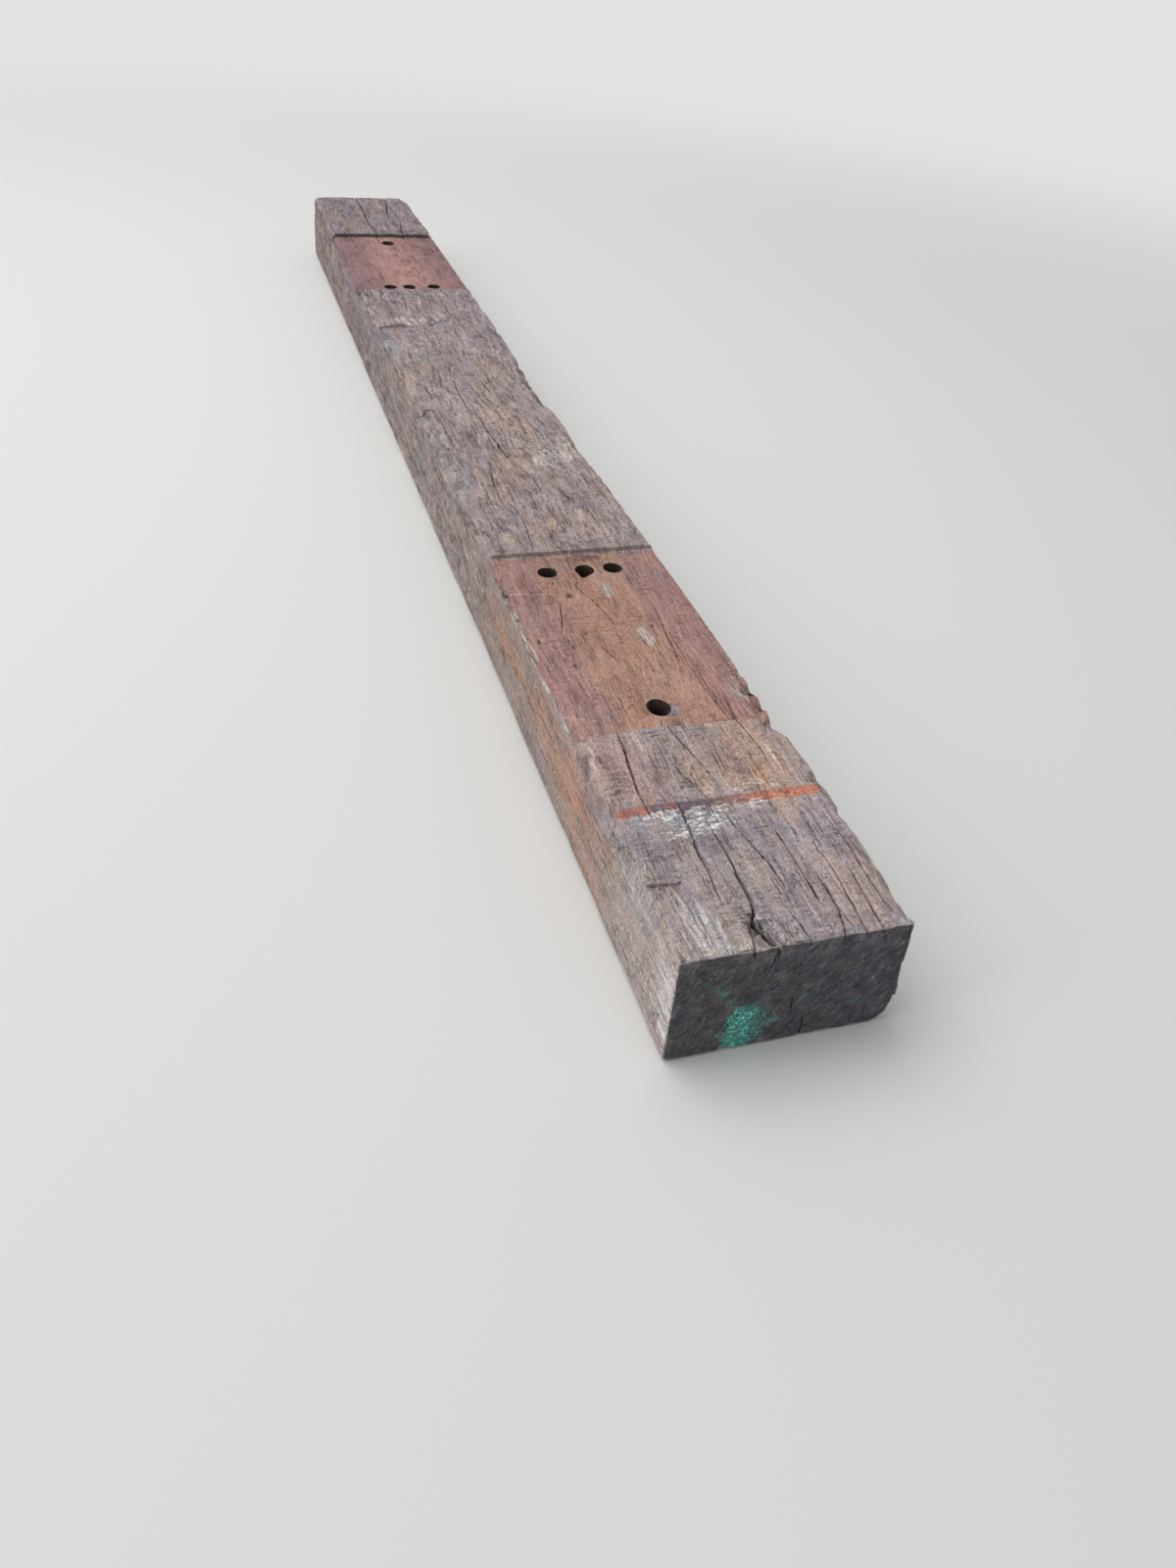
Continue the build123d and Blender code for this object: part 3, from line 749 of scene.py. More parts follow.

# %% [markdown]
# ## Relief and splits go in
# Every point sinks into the wood along its own normal, and then the splits cut straight
# down. The splits are stored for painted shade, and the steps' broken lips and the split's
# lost corner get painted shade as well, because no grid is fine enough to shade them.

# %% The splits go down from the top
shaped = base - normals * relief[:, None]
shaped[:, 0] += shift
depth, dark = split_depth(base[:, 0], base[:, 1])
of_top = np.zeros(len(base))
of_top[:FAR_START] = np.arange(FAR_START) % RING <= TOP_RIGHT
depth, dark = depth * of_top, dark * of_top
for index, x in enumerate(STEP_PLACES):
    at_step = np.exp(-(((base[:, 0] - x * MM - 0.0002) / 0.0011) ** 2)) * step_share(index, base)
    beat = np.cos(base[:, 1] * 110 + 2.1 * index + np.sin(base[:, 1] * 260))
    at_step = at_step * (0.75 + 0.25 * beat)
    dark = np.maximum(dark, min(0.14 * STEPS[index][1], 0.62) * at_step)
dark = np.maximum(dark, 0.62 * lost * ease(HALF_LENGTH, LOST_FROM, base[:, 0]) * of_top)
shaped[:, 2] -= depth
shaped = np.clip(shaped, (-HALF_LENGTH, -HALF_WIDTH, 0), (HALF_LENGTH, HALF_WIDTH, HEIGHT))
print(f"deepest split {depth.max() * 1000:.1f} mm")

# %% [markdown]
# ## The end grids follow the splits
# A split that opens at an end lowers the top points of that end, so the end's grid is
# stretched again over the moved ring, and keeps its own saw-mark relief.

# %% Restretching the ends
for kept, ring_start in ((slice(FAR_START, NEAR_START), 0), (slice(NEAR_START, None), FAR_START - RING)):
    moved = end_grid(shaped[ring_start : ring_start + RING]).reshape(-1, 3)
    shaped[kept, 1:] = moved[:, 1:]
print(f"{len(shaped) - FAR_START} points on the ends")

# %% [markdown]
# ## Making the mesh
# numpy's arrays go straight into the mesh. The measures that the finish will need, such
# as how much a point belongs to the end or to a split, go in as named attributes.

# %% The timber
def make_piece(name, points, face_groups):
    """A mesh object at the origin from an array of points and arrays of face corners."""
    mesh = bpy.data.meshes.new(name)
    faces = [face for group in face_groups for face in group.tolist()]
    mesh.from_pydata(points.tolist(), [], faces)
    mesh.update()
    piece = bpy.data.objects.new(name, mesh)
    bpy.context.scene.collection.objects.link(piece)
    return piece


def keep_measure(piece, name, values):
    """Stores one number a point in the mesh, for the finish to read."""
    layer = piece.data.attributes.new(name, "FLOAT", "POINT")
    layer.data.foreach_set("value", np.ascontiguousarray(values, dtype=np.float32))


timber = make_piece("sleeper_timber", shaped, (quads, fans))
print(f"timber mesh has {len(timber.data.polygons)} faces")

# %% [markdown]
# ## Patches
# Weather, iron and paint left patches whose places matter more than their exact outlines.
# Each patch is a bowl again, stored as a number per point. The finish breaks up its edge.

# %% Where the patches are
# Rows are (x, y, z, reaches along x, y and z, strength), with strength in thousandths.
PALE = [
    # crumbly wood and scuffs between the seats
    (246, 90, 135, 36, 30, 26, 2000), (262, 62, 135, 32, 30, 20, 1900),
    (276, 38, 135, 28, 22, 20, 1500), (-372, -40, 135, 34, 70, 20, 900),
    (-385, 20, 135, 26, 26, 20, 800), (60, -98, 135, 40, 18, 20, 600),
    (480, 20, 135, 60, 50, 20, 350), (-20, 88, 130, 90, 16, 20, 500),
    # in the near seat: by the middle hole and the scuff
    (660, 17, 127, 27, 15, 20, 1200), (777, 31, 127, 27, 12, 20, 1500),
    (700, 12, 127, 26, 10, 20, 700), (905, 98, 127, 40, 12, 20, 800),
    (960, 22, 127, 20, 16, 20, 600),
    # its torn left edge
    (672, -116, 128, 14, 6, 10, 1500), (708, -116, 128, 46, 6, 10, 1700),
    (786, -116, 128, 46, 7, 10, 1700), (850, -117, 128, 40, 5, 9, 1500),
    (925, -117, 128, 36, 5, 10, 1200),
    # beside the shoulder and on the near end's left corner
    (985, -58, 135, 30, 16, 20, 700), (1010, -108, 135, 45, 10, 20, 600),
    (1262, -85, 135, 60, 40, 30, 800), (1297, 104, 134, 10, 11, 20, 900),
    (1296, -60, 134, 14, 80, 20, 900), (1180, -112, 132, 60, 12, 20, 600),
    (1275, -30, 134, 26, 12, 20, 900), (1040, 92, 135, 60, 20, 20, 500),
    (1300, -119, 70, 90, 12, 90, 900), (1140, -119, 105, 130, 10, 30, 700),
    (-1000, 0, 135, 30, 90, 20, 500),
]
# Dark patches are mostly stains and blotches. The strongest rows, in the chips on the left edge, and the
# row at the foot of the near seat's inner shoulder are painted shade.
DARK = [
    (1130, -119, 117, 9, 10, 7, 1600), (1100, -119, 87, 14, 10, 8, 1300),
    (1166, -119, 112, 9, 10, 9, 1100), (652, -116, 127, 10, 9, 9, 1900),
    (634, -119, 128, 7, 6, 7, 1500), (1168, -40, 135, 20, 70, 20, 900),
    (1165, 20, 135, 18, 50, 20, 700), (1050, -55, 135, 40, 26, 20, 900),
    (1025, -92, 135, 45, 20, 20, 800), (1050, 45, 135, 34, 30, 20, 800),
    (1230, 60, 135, 40, 30, 20, 500), (1080, 10, 135, 30, 26, 20, 500),
    (500, -75, 135, 60, 30, 20, 500), (180, -60, 135, 80, 30, 20, 600),
    (430, 60, 135, 80, 30, 20, 500), (20, 40, 135, 80, 30, 20, 600),
    (-150, -20, 135, 70, 40, 20, 600), (-260, 60, 135, 60, 30, 20, 500),
    (-500, 10, 135, 60, 60, 20, 600), (-1230, -60, 135, 60, 40, 20, 600),
    (960, 30, 128, 12, 60, 20, 700), (575, 0, 128, 11, 110, 20, 800),
    (850, 6, 127, 45, 18, 20, 500), (822, 92, 127, 40, 18, 20, 700),
    (-1150, 70, 135, 60, 30, 20, 500), (300, 112, 60, 500, 30, 60, 300),
    (870, -85, 127, 60, 22, 20, 600), (640, -85, 127, 50, 22, 20, 500),
]
COOL = [
    (170, -110, 135, 230, 24, 24, 1000), (-240, -108, 135, 170, 24, 24, 1000),
    (420, -112, 135, 90, 16, 24, 800), (1090, -119, 112, 120, 10, 26, 1300),
    (1230, -119, 118, 60, 10, 16, 800), (1124, -40, 135, 24, 62, 20, 1300),
    (928, 12, 127, 16, 13, 20, 1300), (926, -64, 127, 13, 9, 20, 1300),
    (588, -19, 127, 12, 14, 20, 1300), (-180, -70, 135, 66, 16, 20, 1200),
    (1292, 52, 135, 10, 12, 20, 1500), (340, -98, 135, 70, 14, 20, 1100),
    (60, 60, 135, 50, 30, 20, 600), (1120, -90, 135, 26, 30, 20, 800),
    (1150, 40, 135, 26, 60, 20, 500), (1190, -119, 95, 60, 10, 30, 900),
    (560, -119, 70, 120, 10, 30, 500), (-620, -119, 70, 260, 10, 40, 500),
    (1262, 40, 135, 26, 16, 20, 400), (100, -119, 60, 200, 10, 40, 500),
    (640, 92, 127, 36, 18, 20, 500),
]
TAN = [
    (1030, 60, 135, 80, 55, 20, 1000), (1110, 80, 135, 90, 35, 20, 700),
    (1240, 60, 135, 80, 60, 20, 900), (1215, 0, 135, 60, 24, 20, 700),
    (1060, 0, 135, 50, 25, 20, 600), (490, 30, 135, 90, 70, 20, 700),
    (330, -30, 135, 120, 60, 20, 700), (110, 20, 135, 120, 60, 20, 800),
    (-120, 40, 135, 120, 50, 20, 600), (-420, 30, 135, 60, 60, 20, 600),
    (-1200, 10, 135, 80, 60, 20, 600), (1270, -119, 40, 120, 12, 50, 500),
    (400, -119, 60, 200, 12, 40, 600), (100, -119, 100, 200, 12, 30, 500),
]
GREEN = [
    (1300, -46, 14, 20, 22, 32, 1150), (1300, -44, 44, 20, 24, 28, 1100),
    (1300, -40, 34, 20, 38, 50, 600), (1300, -70, 84, 20, 13, 24, 520),
    (1300, -60, 66, 20, 14, 18, 520), (1300, -52, 110, 20, 11, 15, 330),
    (1300, -38, 112, 20, 10, 17, 330), (1300, -84, 104, 20, 10, 18, 300),
    (1300, 19, 61, 20, 13, 13, 460), (1300, 70, 38, 20, 13, 12, 380),
    (1300, 60, 14, 20, 12, 13, 380), (1300, -12, 30, 20, 22, 30, 380),
]
FLECKS = [(1112, -62, 135, 16, 46, 20, 900), (1122, -30, 135, 26, 42, 20, 1200),
          (1140, -50, 135, 16, 40, 20, 800), (1107, 20, 135, 10, 60, 20, 700),
          (1080, 30, 135, 14, 60, 20, 500), (660, 15, 127, 22, 10, 20, 500)]
RUSTY = [
    (700, -119, 80, 280, 12, 50, 650), (890, -119, 75, 200, 12, 50, 850),
    (-760, -119, 60, 240, 12, 60, 500), (760, 119, 60, 300, 12, 60, 700),
    (1000, -90, 135, 60, 40, 20, 350), (1050, 60, 135, 80, 60, 20, 300),
    (470, 0, 135, 110, 100, 20, 250), (-480, 0, 135, 110, 100, 20, 300),
    (-1080, 0, 135, 110, 100, 20, 300),
]

patches = {"pale": PALE, "dark": DARK, "cool": COOL, "green": GREEN, "tan": TAN, "flecks": FLECKS,
           "rusty": RUSTY}
measures = {
    "end_share": share_end, "side_share": share_side, "foot_share": share_foot, "seat_share": in_seat,
    # split_dark and hollow say where painted shade goes, and edge_wear where the pale rim with its
    # painted highlight goes
    "split_dark": dark, "edge_wear": edge_wear, "hollow": np.clip(relief / (3 * MM), 0, 1),
    **{name: bowls(base, rows) for name, rows in patches.items()},
}
for name, values in measures.items():
    keep_measure(timber, name, values)
print(f"{len(measures)} measures kept at each of {len(base)} points")

# %% [markdown]
# ## Screw holes
# Eight holes were bored right through. A boolean cut is the plain way to make them, with
# a drill-shaped cutter for each: round below, and at the mouth opened out where a loose
# screw worked the wood or broke a piece of the rim away.

# %% Bores
BORE_SIDES, BORE_RINGS = 44, 16
BORE_PAST = 0.006  # how far the cutter reaches out past both faces
MOUTH_DEPTH, MOUTH_LENGTH, MOUTH_WIDTH = 0.014, 0.032, 0.026
BREAK_DEPTH, BREAK_ANGLE = 0.010, 0.36  # a broken rim, down the hole and round it in radians


def bore_surface(x, y, mouth, spall, seed):
    """A closed tube through the timber. Its radius is the screw hole's, times a little
    noise, plus the mouth's extra reach towards the top: along X and across by different
    amounts, fading as the square of the depth, and more on the broken side."""
    low_rings = np.linspace(-BORE_PAST, SEAT_FLOOR - 0.035, BORE_RINGS // 2)
    mouth_rings = np.linspace(SEAT_FLOOR - 0.03, HEIGHT + BORE_PAST, BORE_RINGS - BORE_RINGS // 2)
    angle = np.linspace(0, 2 * np.pi, BORE_SIDES, endpoint=False)
    spin, height = np.meshgrid(angle, np.concatenate([low_rings, mouth_rings]))
    round_about = np.stack([np.cos(spin) * 0.01 + x, np.sin(spin) * 0.01 + y, height], axis=-1)
    radius = HOLE_RADIUS * (1 + 0.035 * layered(round_about, (0.007, 0.007, 0.03), seed))
    rise = np.clip((height - (SEAT_FLOOR - MOUTH_DEPTH)) / MOUTH_DEPTH, 0, 1.2) ** 2
    radius = radius + rise * (mouth[0] * np.cos(spin) ** 2 + mouth[1] * np.sin(spin) ** 2)
    break_side, break_reach = spall
    bulge = np.exp(-((np.angle(np.exp(1j * (spin - break_side))) / BREAK_ANGLE) ** 2))
    rise_late = np.clip((height - (SEAT_FLOOR - BREAK_DEPTH)) / BREAK_DEPTH, 0, 1.2)
    radius = radius + break_reach * bulge * rise_late
    softened = 0.0009 * np.exp(-(((height - SEAT_FLOOR) / 0.004) ** 2))
    radius = radius + softened
    points = np.stack([x + radius * np.cos(spin), y + radius * np.sin(spin), height], axis=-1)
    return points.reshape(-1, 3)


def bore_faces(start):
    """The tube's wall as four-sided faces and its two lids as one many-sided face each."""
    ring, step = np.meshgrid(np.arange(BORE_RINGS - 1), np.arange(BORE_SIDES), indexing="ij")
    ahead = (step + 1) % BORE_SIDES
    wall = start + np.stack([ring * BORE_SIDES + step, ring * BORE_SIDES + ahead,
                             (ring + 1) * BORE_SIDES + ahead, (ring + 1) * BORE_SIDES + step], axis=-1)
    lid = start + np.arange(BORE_SIDES)
    return wall.reshape(-1, 4), np.stack([lid[::-1], lid + (BORE_RINGS - 1) * BORE_SIDES])


print(f"the cutter for one hole has {BORE_SIDES * BORE_RINGS} points")

# %% [markdown]
# ## The eight holes
# Each seat has a row of three holes at its inner end and a single one at its outer end. The
# single ones have worn mouths, and the middle one of each row lost part of its rim.

# %% The eight holes
# A mouth is its extra reach (along X, across), a spall the (direction, reach) of a broken rim
WORN_MOUTH = MOUTH_LENGTH / 2 - HOLE_RADIUS, MOUTH_WIDTH / 2 - HOLE_RADIUS
TIGHT_MOUTH = 0.0008, 0.0004
WHOLE, NEAR_SPALL, FAR_SPALL = (0, 0), (math.radians(-22), 0.008), (0.4, 0.005)
bores = []
for end in (-1, 1):
    bores += [(end * ROW_OF_THREE, side * ROW_REACH, TIGHT_MOUTH, WHOLE) for side in (-1, 1)]
    spall = NEAR_SPALL if end > 0 else FAR_SPALL
    bores.append((end * ROW_OF_THREE, end * MIDDLE_SHIFT, TIGHT_MOUTH, spall))
    bores.append((end * SINGLE_HOLE, -end * OUTER_SHIFT, WORN_MOUTH, WHOLE))
bore_points, bore_groups = [], []
for index, (x, y, mouth, spall) in enumerate(bores):
    bore_points.append(bore_surface(x, y, mouth, spall, 60 + index))
    bore_groups.extend(bore_faces(index * BORE_SIDES * BORE_RINGS))
drill = make_piece("drill", np.concatenate(bore_points), bore_groups)
print(f"{len(bores)} holes of {2 * HOLE_RADIUS * 1000:.0f} mm")

# %% [markdown]
# ## Materials in plain steps
# A weathered surface is many thin stories laid over each other. The helpers below keep each
# story to a line. A Value is a number or a colour that nodes work out at each point, and
# plain sums work on it, so that a node tree can be written and read like arithmetic.

# %% Colours and values
def light(*numbers):
    """A colour in the linear numbers of light. One number is a plain factor, three are a
    colour as it is read off a screen, from 0 to 255, and four are linear already."""
    if len(numbers) == 1:
        return numbers * 3 + (1,)
    if len(numbers) == 4:
        return numbers
    parts = [number / 255 for number in numbers]
    return *(v / 12.92 if v <= 0.04045 else ((v + 0.055) / 1.055) ** 2.4 for v in parts), 1


class Value:
    """A number or a colour that nodes work out at each point of a surface."""

    def __init__(self, nodes, socket):
        self.nodes, self.socket = nodes, socket

    def also(self, output):
        """Another output of the same node."""
        return Value(self.nodes, self.socket.node.outputs[output])

    def math(self, operation, *others):
        return self.nodes.math(operation, self, *others)

    def __add__(self, other):
        return self.math("ADD", other)

    def __sub__(self, other):
        return self.math("SUBTRACT", other)

    def __rsub__(self, other):
        return self.nodes.math("SUBTRACT", other, self)

    def __mul__(self, other):
        return self.math("MULTIPLY", other)

    def __abs__(self):
        return self.math("ABSOLUTE")

    def between(self, start, end):
        """0 below start, 1 above end, smooth in between. With start above end it falls."""
        falls = start > end
        inputs = {0: self, 1: min(start, end), 2: max(start, end), 3: float(falls), 4: float(not falls)}
        return self.nodes.add("ShaderNodeMapRange", inputs, interpolation_type="SMOOTHSTEP")

    def band(self, start, end, soft):
        """1 from start to end, falling to 0 over a soft margin outside."""
        return self.between(start - soft, start + soft) * self.between(end + soft, end - soft)

    def contour(self, width):
        """Thin lines where a noise passes its middle: 1 on the line, 0 beyond its width."""
        return abs(self - 0.5).between(width, 0)

    def broken(self, breaker, share=0.5):
        """A soft mask with its edge broken up: noise is added to it and the sum is cut off."""
        return (self + (breaker - 0.5) * 2.2).between(share, share + 0.35)

    def ramp(self, *stops):
        """Colours at places from 0 to 1, blended in between. A stop is (place, its colour)."""
        colours = self.nodes.add("ShaderNodeValToRGB", {0: self})
        elements = colours.socket.node.color_ramp.elements
        while len(elements) < len(stops):
            elements.new(0.5)
        for element, (place, *colour) in zip(elements, stops):
            element.position, element.color = place, light(*colour)
        return colours

    def coated(self, *coats, mode="MIX"):
        """This colour with coats laid over it in turn. A coat is (how much of it, its colour)."""
        below = self
        for share, *coat in coats:
            coat = coat[0] if isinstance(coat[0], Value) else light(*coat)
            below = self.nodes.add("ShaderNodeMix", {0: share, 6: below, 7: coat}, 2,
                                   data_type="RGBA", blend_type=mode)
        return below

    def tinted(self, *coats):
        """This colour with coats multiplied into it: they darken, lighten or tint it."""
        return self.coated(*coats, mode="MULTIPLY")


print("a screen's middle grey is", round(light(128, 128, 128)[0], 3), "of full light")

# %% [markdown]
# ## A material and what it can read
# A finish needs little from its surface: where a point is, the measures that the mesh holds
# and noise of every size. Marks with a known place are drawn from their distance.

# %% Nodes and finishes
class Nodes:
    """The nodes of one material or world, which is emptied first."""

    def __init__(self, owner, output):
        owner.use_nodes = True
        self.owner, self.tree = owner, owner.node_tree
        self.tree.nodes.clear()
        self.output = self.tree.nodes.new(output)

    def set(self, node, inputs):
        """Sets a node's inputs: a Value is linked in, anything else is written there."""
        for key, value in inputs.items():
            if isinstance(value, Value):
                self.tree.links.new(value.socket, node.inputs[key])
            else:
                node.inputs[key].default_value = value

    def add(self, kind, inputs=None, output=0, **settings):
        """A new node. One of its outputs comes back."""
        node = self.tree.nodes.new(kind)
        for name, value in settings.items():
            setattr(node, name, value)
        self.set(node, inputs or {})
        return Value(self, node.outputs[output])

    def math(self, operation, *values):
        return self.add("ShaderNodeMath", dict(enumerate(values)), operation=operation)

    def seen(self):
        """1 for what the camera sees, also mirrored or through glass, 0 for other light."""
        camera = self.add("ShaderNodeLightPath", None, "Is Camera Ray")
        mirrored = camera.math("MAXIMUM", camera.also("Is Glossy Ray"))
        return mirrored.math("MAXIMUM", camera.also("Is Transmission Ray"))


class Finish(Nodes):
    """One material, with its shader and what it can read from the surface it lies on."""

    def __init__(self, name):
        super().__init__(bpy.data.materials.new(name), "ShaderNodeOutputMaterial")
        self.surface = self.add("ShaderNodeBsdfPrincipled")
        self.set(self.output, {0: self.surface})
        self.place = self.add("ShaderNodeTexCoord", None, "Object")
        self.x = self.add("ShaderNodeSeparateXYZ", {0: self.place})
        self.y, self.z = self.x.also(1), self.x.also(2)

    def cover(self, piece, inputs):
        """Sets the shader and gives the material to a piece."""
        self.set(self.surface.socket.node, inputs)
        piece.data.materials.append(self.owner)

    def measure(self, name):
        """A number that the mesh holds at each point."""
        return self.add("ShaderNodeAttribute", None, "Fac",
                        attribute_name=name, attribute_type="GEOMETRY")

    def moved(self, place=None, **inputs):
        """Places that are shifted, turned or scaled by a Mapping node."""
        return self.add("ShaderNodeMapping", {"Vector": place or self.place, **inputs})

    def noise(self, scale, detail=4, roughness=0.55, shift=0, place=None, curl=0.0):
        """Noise whose cells are 1 / scale metres along X, Y and Z. Curl bends them."""
        cells = self.moved(place, Location=(shift, shift, shift), Scale=scale)
        return self.add("ShaderNodeTexNoise", {"Vector": cells, "Scale": 1.0, "Detail": detail,
                                               "Roughness": roughness, "Distortion": curl})

    def scratch(self, a, b, start, end, width):
        """A thin straight line across a face, 1 on it and 0 beyond its width. Its two ends
        are (a, b) places in metres, further apart in b than in a."""
        slope = (end[0] - start[0]) / (end[1] - start[1])
        off = abs(a - (b * slope + (start[0] - slope * start[1])))
        return off.between(width, width * 0.3) * b.band(*sorted((start[1], end[1])), 0.003)

    def spot(self, x, y, reach_x, reach_y):
        """A small soft round mark on the top: 1 in its middle and 0 beyond its reaches."""
        u, v = (self.x - x).math("DIVIDE", reach_x), (self.y - y).math("DIVIDE", reach_y)
        return (u * u + v * v).between(1.0, 0.25)


print("a finish can", ", ".join(name for name in vars(Finish) if name[0] != "_"))

# %% [markdown]
# ## The weathered timber
# One material covers the whole timber and blends its faces' finishes by the shares stored
# in the mesh, so that the colours run round the worn edges as they do on real wood.
# Every noise is stretched along X, the way the fibres run, and bent a little sideways.

# %% Noises along the grain
wood = Finish("weathered_timber")
sway = (wood.noise((3.2, 5, 5), 2, 0.5, 1) - 0.5) * 0.05
grain = wood.add("ShaderNodeCombineXYZ", {0: wood.x, 1: wood.y + sway, 2: wood.z + sway * 0.6})
streak = wood.noise((8, 190, 190), 5, 0.60, 3, grain)
thread = wood.noise((30, 430, 430), 4, 0.68, 9, grain, 0.7)
fibre = wood.noise((70, 900, 900), 3, 0.6, 7, grain, 0.5)
crossed = wood.moved(Rotation=(0, 0.5, 0.45))
hatch = wood.noise((130, 520, 520), 4, 0.66, 71, crossed, 0.8)
broad = wood.noise((6, 22, 22), 4, 0.60, 5)
patch = wood.noise((17, 34, 34), 5, 0.62, 23)
chatter = wood.noise((290, 75, 75), 4, 0.64, 11)
grit = wood.noise((330, 400, 400), 3, 0.62, 19)
check_lines = wood.noise((9, 225, 225), 3, 0.55, 13, grain).contour(0.017)
check_lines *= wood.noise((15, 45, 45), 2, 0.5, 15).between(0.46, 0.58)
# Worm holes: a dot in the middle of each of a share of random cells
cells = wood.moved(Scale=(150, 90, 150))
hole_cells = wood.add("ShaderNodeTexVoronoi", {"Vector": cells, "Scale": 1.0}, "Distance")
wormed = wood.add("ShaderNodeSeparateColor", {0: hole_cells.also("Color")}).between(0.8, 0.801)
worm = hole_cells.between(0.19, 0.19 * 0.45) * wormed
print(f"{len(wood.tree.nodes)} nodes so far")

# %% [markdown]
# ## Grey top, browner sides
# Sun and rain bleached the top to grey-brown, and the sheltered sides kept more colour. Each
# face starts as one ramp over the streaks. Blotches, stains and scuffs lie over it.

# %% Colours of the top and the sides
# The dark patches: stains, and in the left edge's chips and at the inner shoulder, painted shade
stained = wood.measure("dark").broken(patch)
scuffed = wood.measure("pale").broken(streak)
tan = wood.measure("tan").broken(wood.noise((12, 60, 60), 5, 0.62, 29, grain), 0.35)
top = streak.ramp(
    (0.28, 139, 125, 124), (0.42, 153, 138, 137), (0.56, 163, 148, 146), (0.74, 177, 162, 159))
top = top.coated(
    (patch.between(0.52, 0.68) * 0.5, 132, 120, 126),
    (broad.between(0.50, 0.64) * 0.35, 176, 150, 130),
    (tan * 0.5, streak.ramp((0.30, 158, 132, 119), (0.52, 175, 150, 137), (0.72, 190, 168, 155))),
    (stained * 0.62, 124, 109, 110))

side_cracks = wood.noise((6, 60, 60), 4, 0.60, 83, grain).contour(0.012)
side_cracks *= wood.noise((9, 30, 30), 2, 0.5, 85).between(0.50, 0.60)
dull = wood.x.band(-0.75, 0.40, 0.2) * wood.noise((7, 26, 26), 4, 0.62, 87).between(0.42, 0.60)
side = streak.ramp(
    (0.28, 140, 126, 121), (0.42, 152, 137, 132), (0.58, 161, 146, 140), (0.76, 173, 158, 152))
side = side.coated(
    (patch.between(0.52, 0.68) * 0.5, 130, 118, 118),
    (broad.between(0.50, 0.64) * 0.4, 170, 149, 134))
side = side.tinted((wood.x.between(1.0, 1.28), 1.10))
side = side.coated((side_cracks * 0.75, 64, 56, 54), (dull * 0.55, 126, 122, 126))

wander_x = (wood.noise((20, 26, 26), 4, 0.6, 103) - 0.5) * 0.03
smudge = (wood.x + wander_x).band(1.148, 1.158, 0.007) * wood.y.band(-0.095, 0.035, 0.02)
rusty = wood.measure("rusty").broken(wood.noise((11, 60, 60), 4, 0.6, 43), 0.35)
cool = wood.measure("cool").broken(wood.noise((34, 110, 110), 5, 0.66, 73))
on_side = wood.measure("side_share").between(0.35, 0.65)
ground = top.coated(
    (on_side, side),
    (rusty * 0.5, streak.ramp((0.30, 136, 96, 78), (0.52, 172, 126, 100), (0.72, 190, 150, 124))),
    (smudge * wood.z.between(0.12, 0.13) * 0.55, 112, 102, 108),
    (cool * 0.5, 148, 147, 150),
    (scuffed * 0.75, thread.ramp((0.32, 134, 125, 121), (0.48, 184, 173, 166), (0.66, 216, 208, 200))))
print(f"{len(wood.tree.nodes)} nodes with the top and the sides")

# %% [markdown]
# ## Rust prints
# Each chair left its print on the seat: orange where iron lay on the wood all those years,
# and plum at the margins, where water and iron met the tannin. The print's sides run
# along the timber, a little in from both edges.

# %% The seats' colours
# Two scratches as their ends' (along, across) in metres, and dents as (along, across,
# reaches) in millimetres
SEAT_SCRATCHES = [((0.652, -0.107), (0.660, -0.051)), ((0.921, -0.113), (0.935, -0.078))]
SEAT_DENTS = [(667, -33, 8, 5), (753, 48, 4, 3), (767, -100, 7, 3), (785, -62, 6, 2.5),
              (825, -72, 5, 3), (715, -113, 6, 3)]
wander = (wood.noise((9, 40, 40), 5, 0.64, 75) - 0.5) * 0.09
print_y = wood.y + wander
plate = print_y.band(-0.062, 0.064, 0.020)
boundary = print_y.band(-0.066, -0.058, 0.003) * streak.between(0.42, 0.58)
rust = wood.noise((14, 60, 60), 6, 0.70, 41, grain).ramp(
    (0.26, 144, 108, 95), (0.44, 165, 128, 112), (0.60, 176, 141, 125), (0.76, 192, 160, 146))
plum = streak.ramp(
    (0.28, 136, 106, 102), (0.44, 157, 123, 117), (0.62, 169, 135, 128), (0.78, 184, 156, 148))
far_print = wood.y.band(-0.05, 0.05, 0.03).ramp((0.2, 150, 118, 126), (0.9, 192, 148, 150))
seat = plum.coated(
    (plate, rust),
    (wood.x.between(0.1, -0.1) * 0.5, far_print),
    (patch.between(0.54, 0.70) * 0.45, 140, 110, 104))
seat = seat.tinted((boundary * 0.35, 0.70)).coated(
    (stained * 0.5, 128, 92, 84),
    (wood.measure("cool").broken(patch) * 0.6, 140, 132, 140),
    (scuffed * 0.72, streak.ramp((0.36, 108, 100, 98), (0.48, 176, 164, 158), (0.62, 206, 196, 188))))
for start, stop in SEAT_SCRATCHES:
    seat = seat.coated((wood.scratch(wood.x, wood.y, start, stop, 0.0016) * 0.6, 206, 178, 164))
for row in np.array(SEAT_DENTS) * MM:
    seat = seat.coated((wood.spot(*row) * 0.8, 84, 58, 50))
print(f"{len(wood.tree.nodes)} nodes with the seats")

# %% [markdown]
# ## Band and flecks
# A band of rust from a strap or bar crosses the top near one end, with a scatter of white
# flecks beside it. Both are thin, so noise decides where the wood shows through.

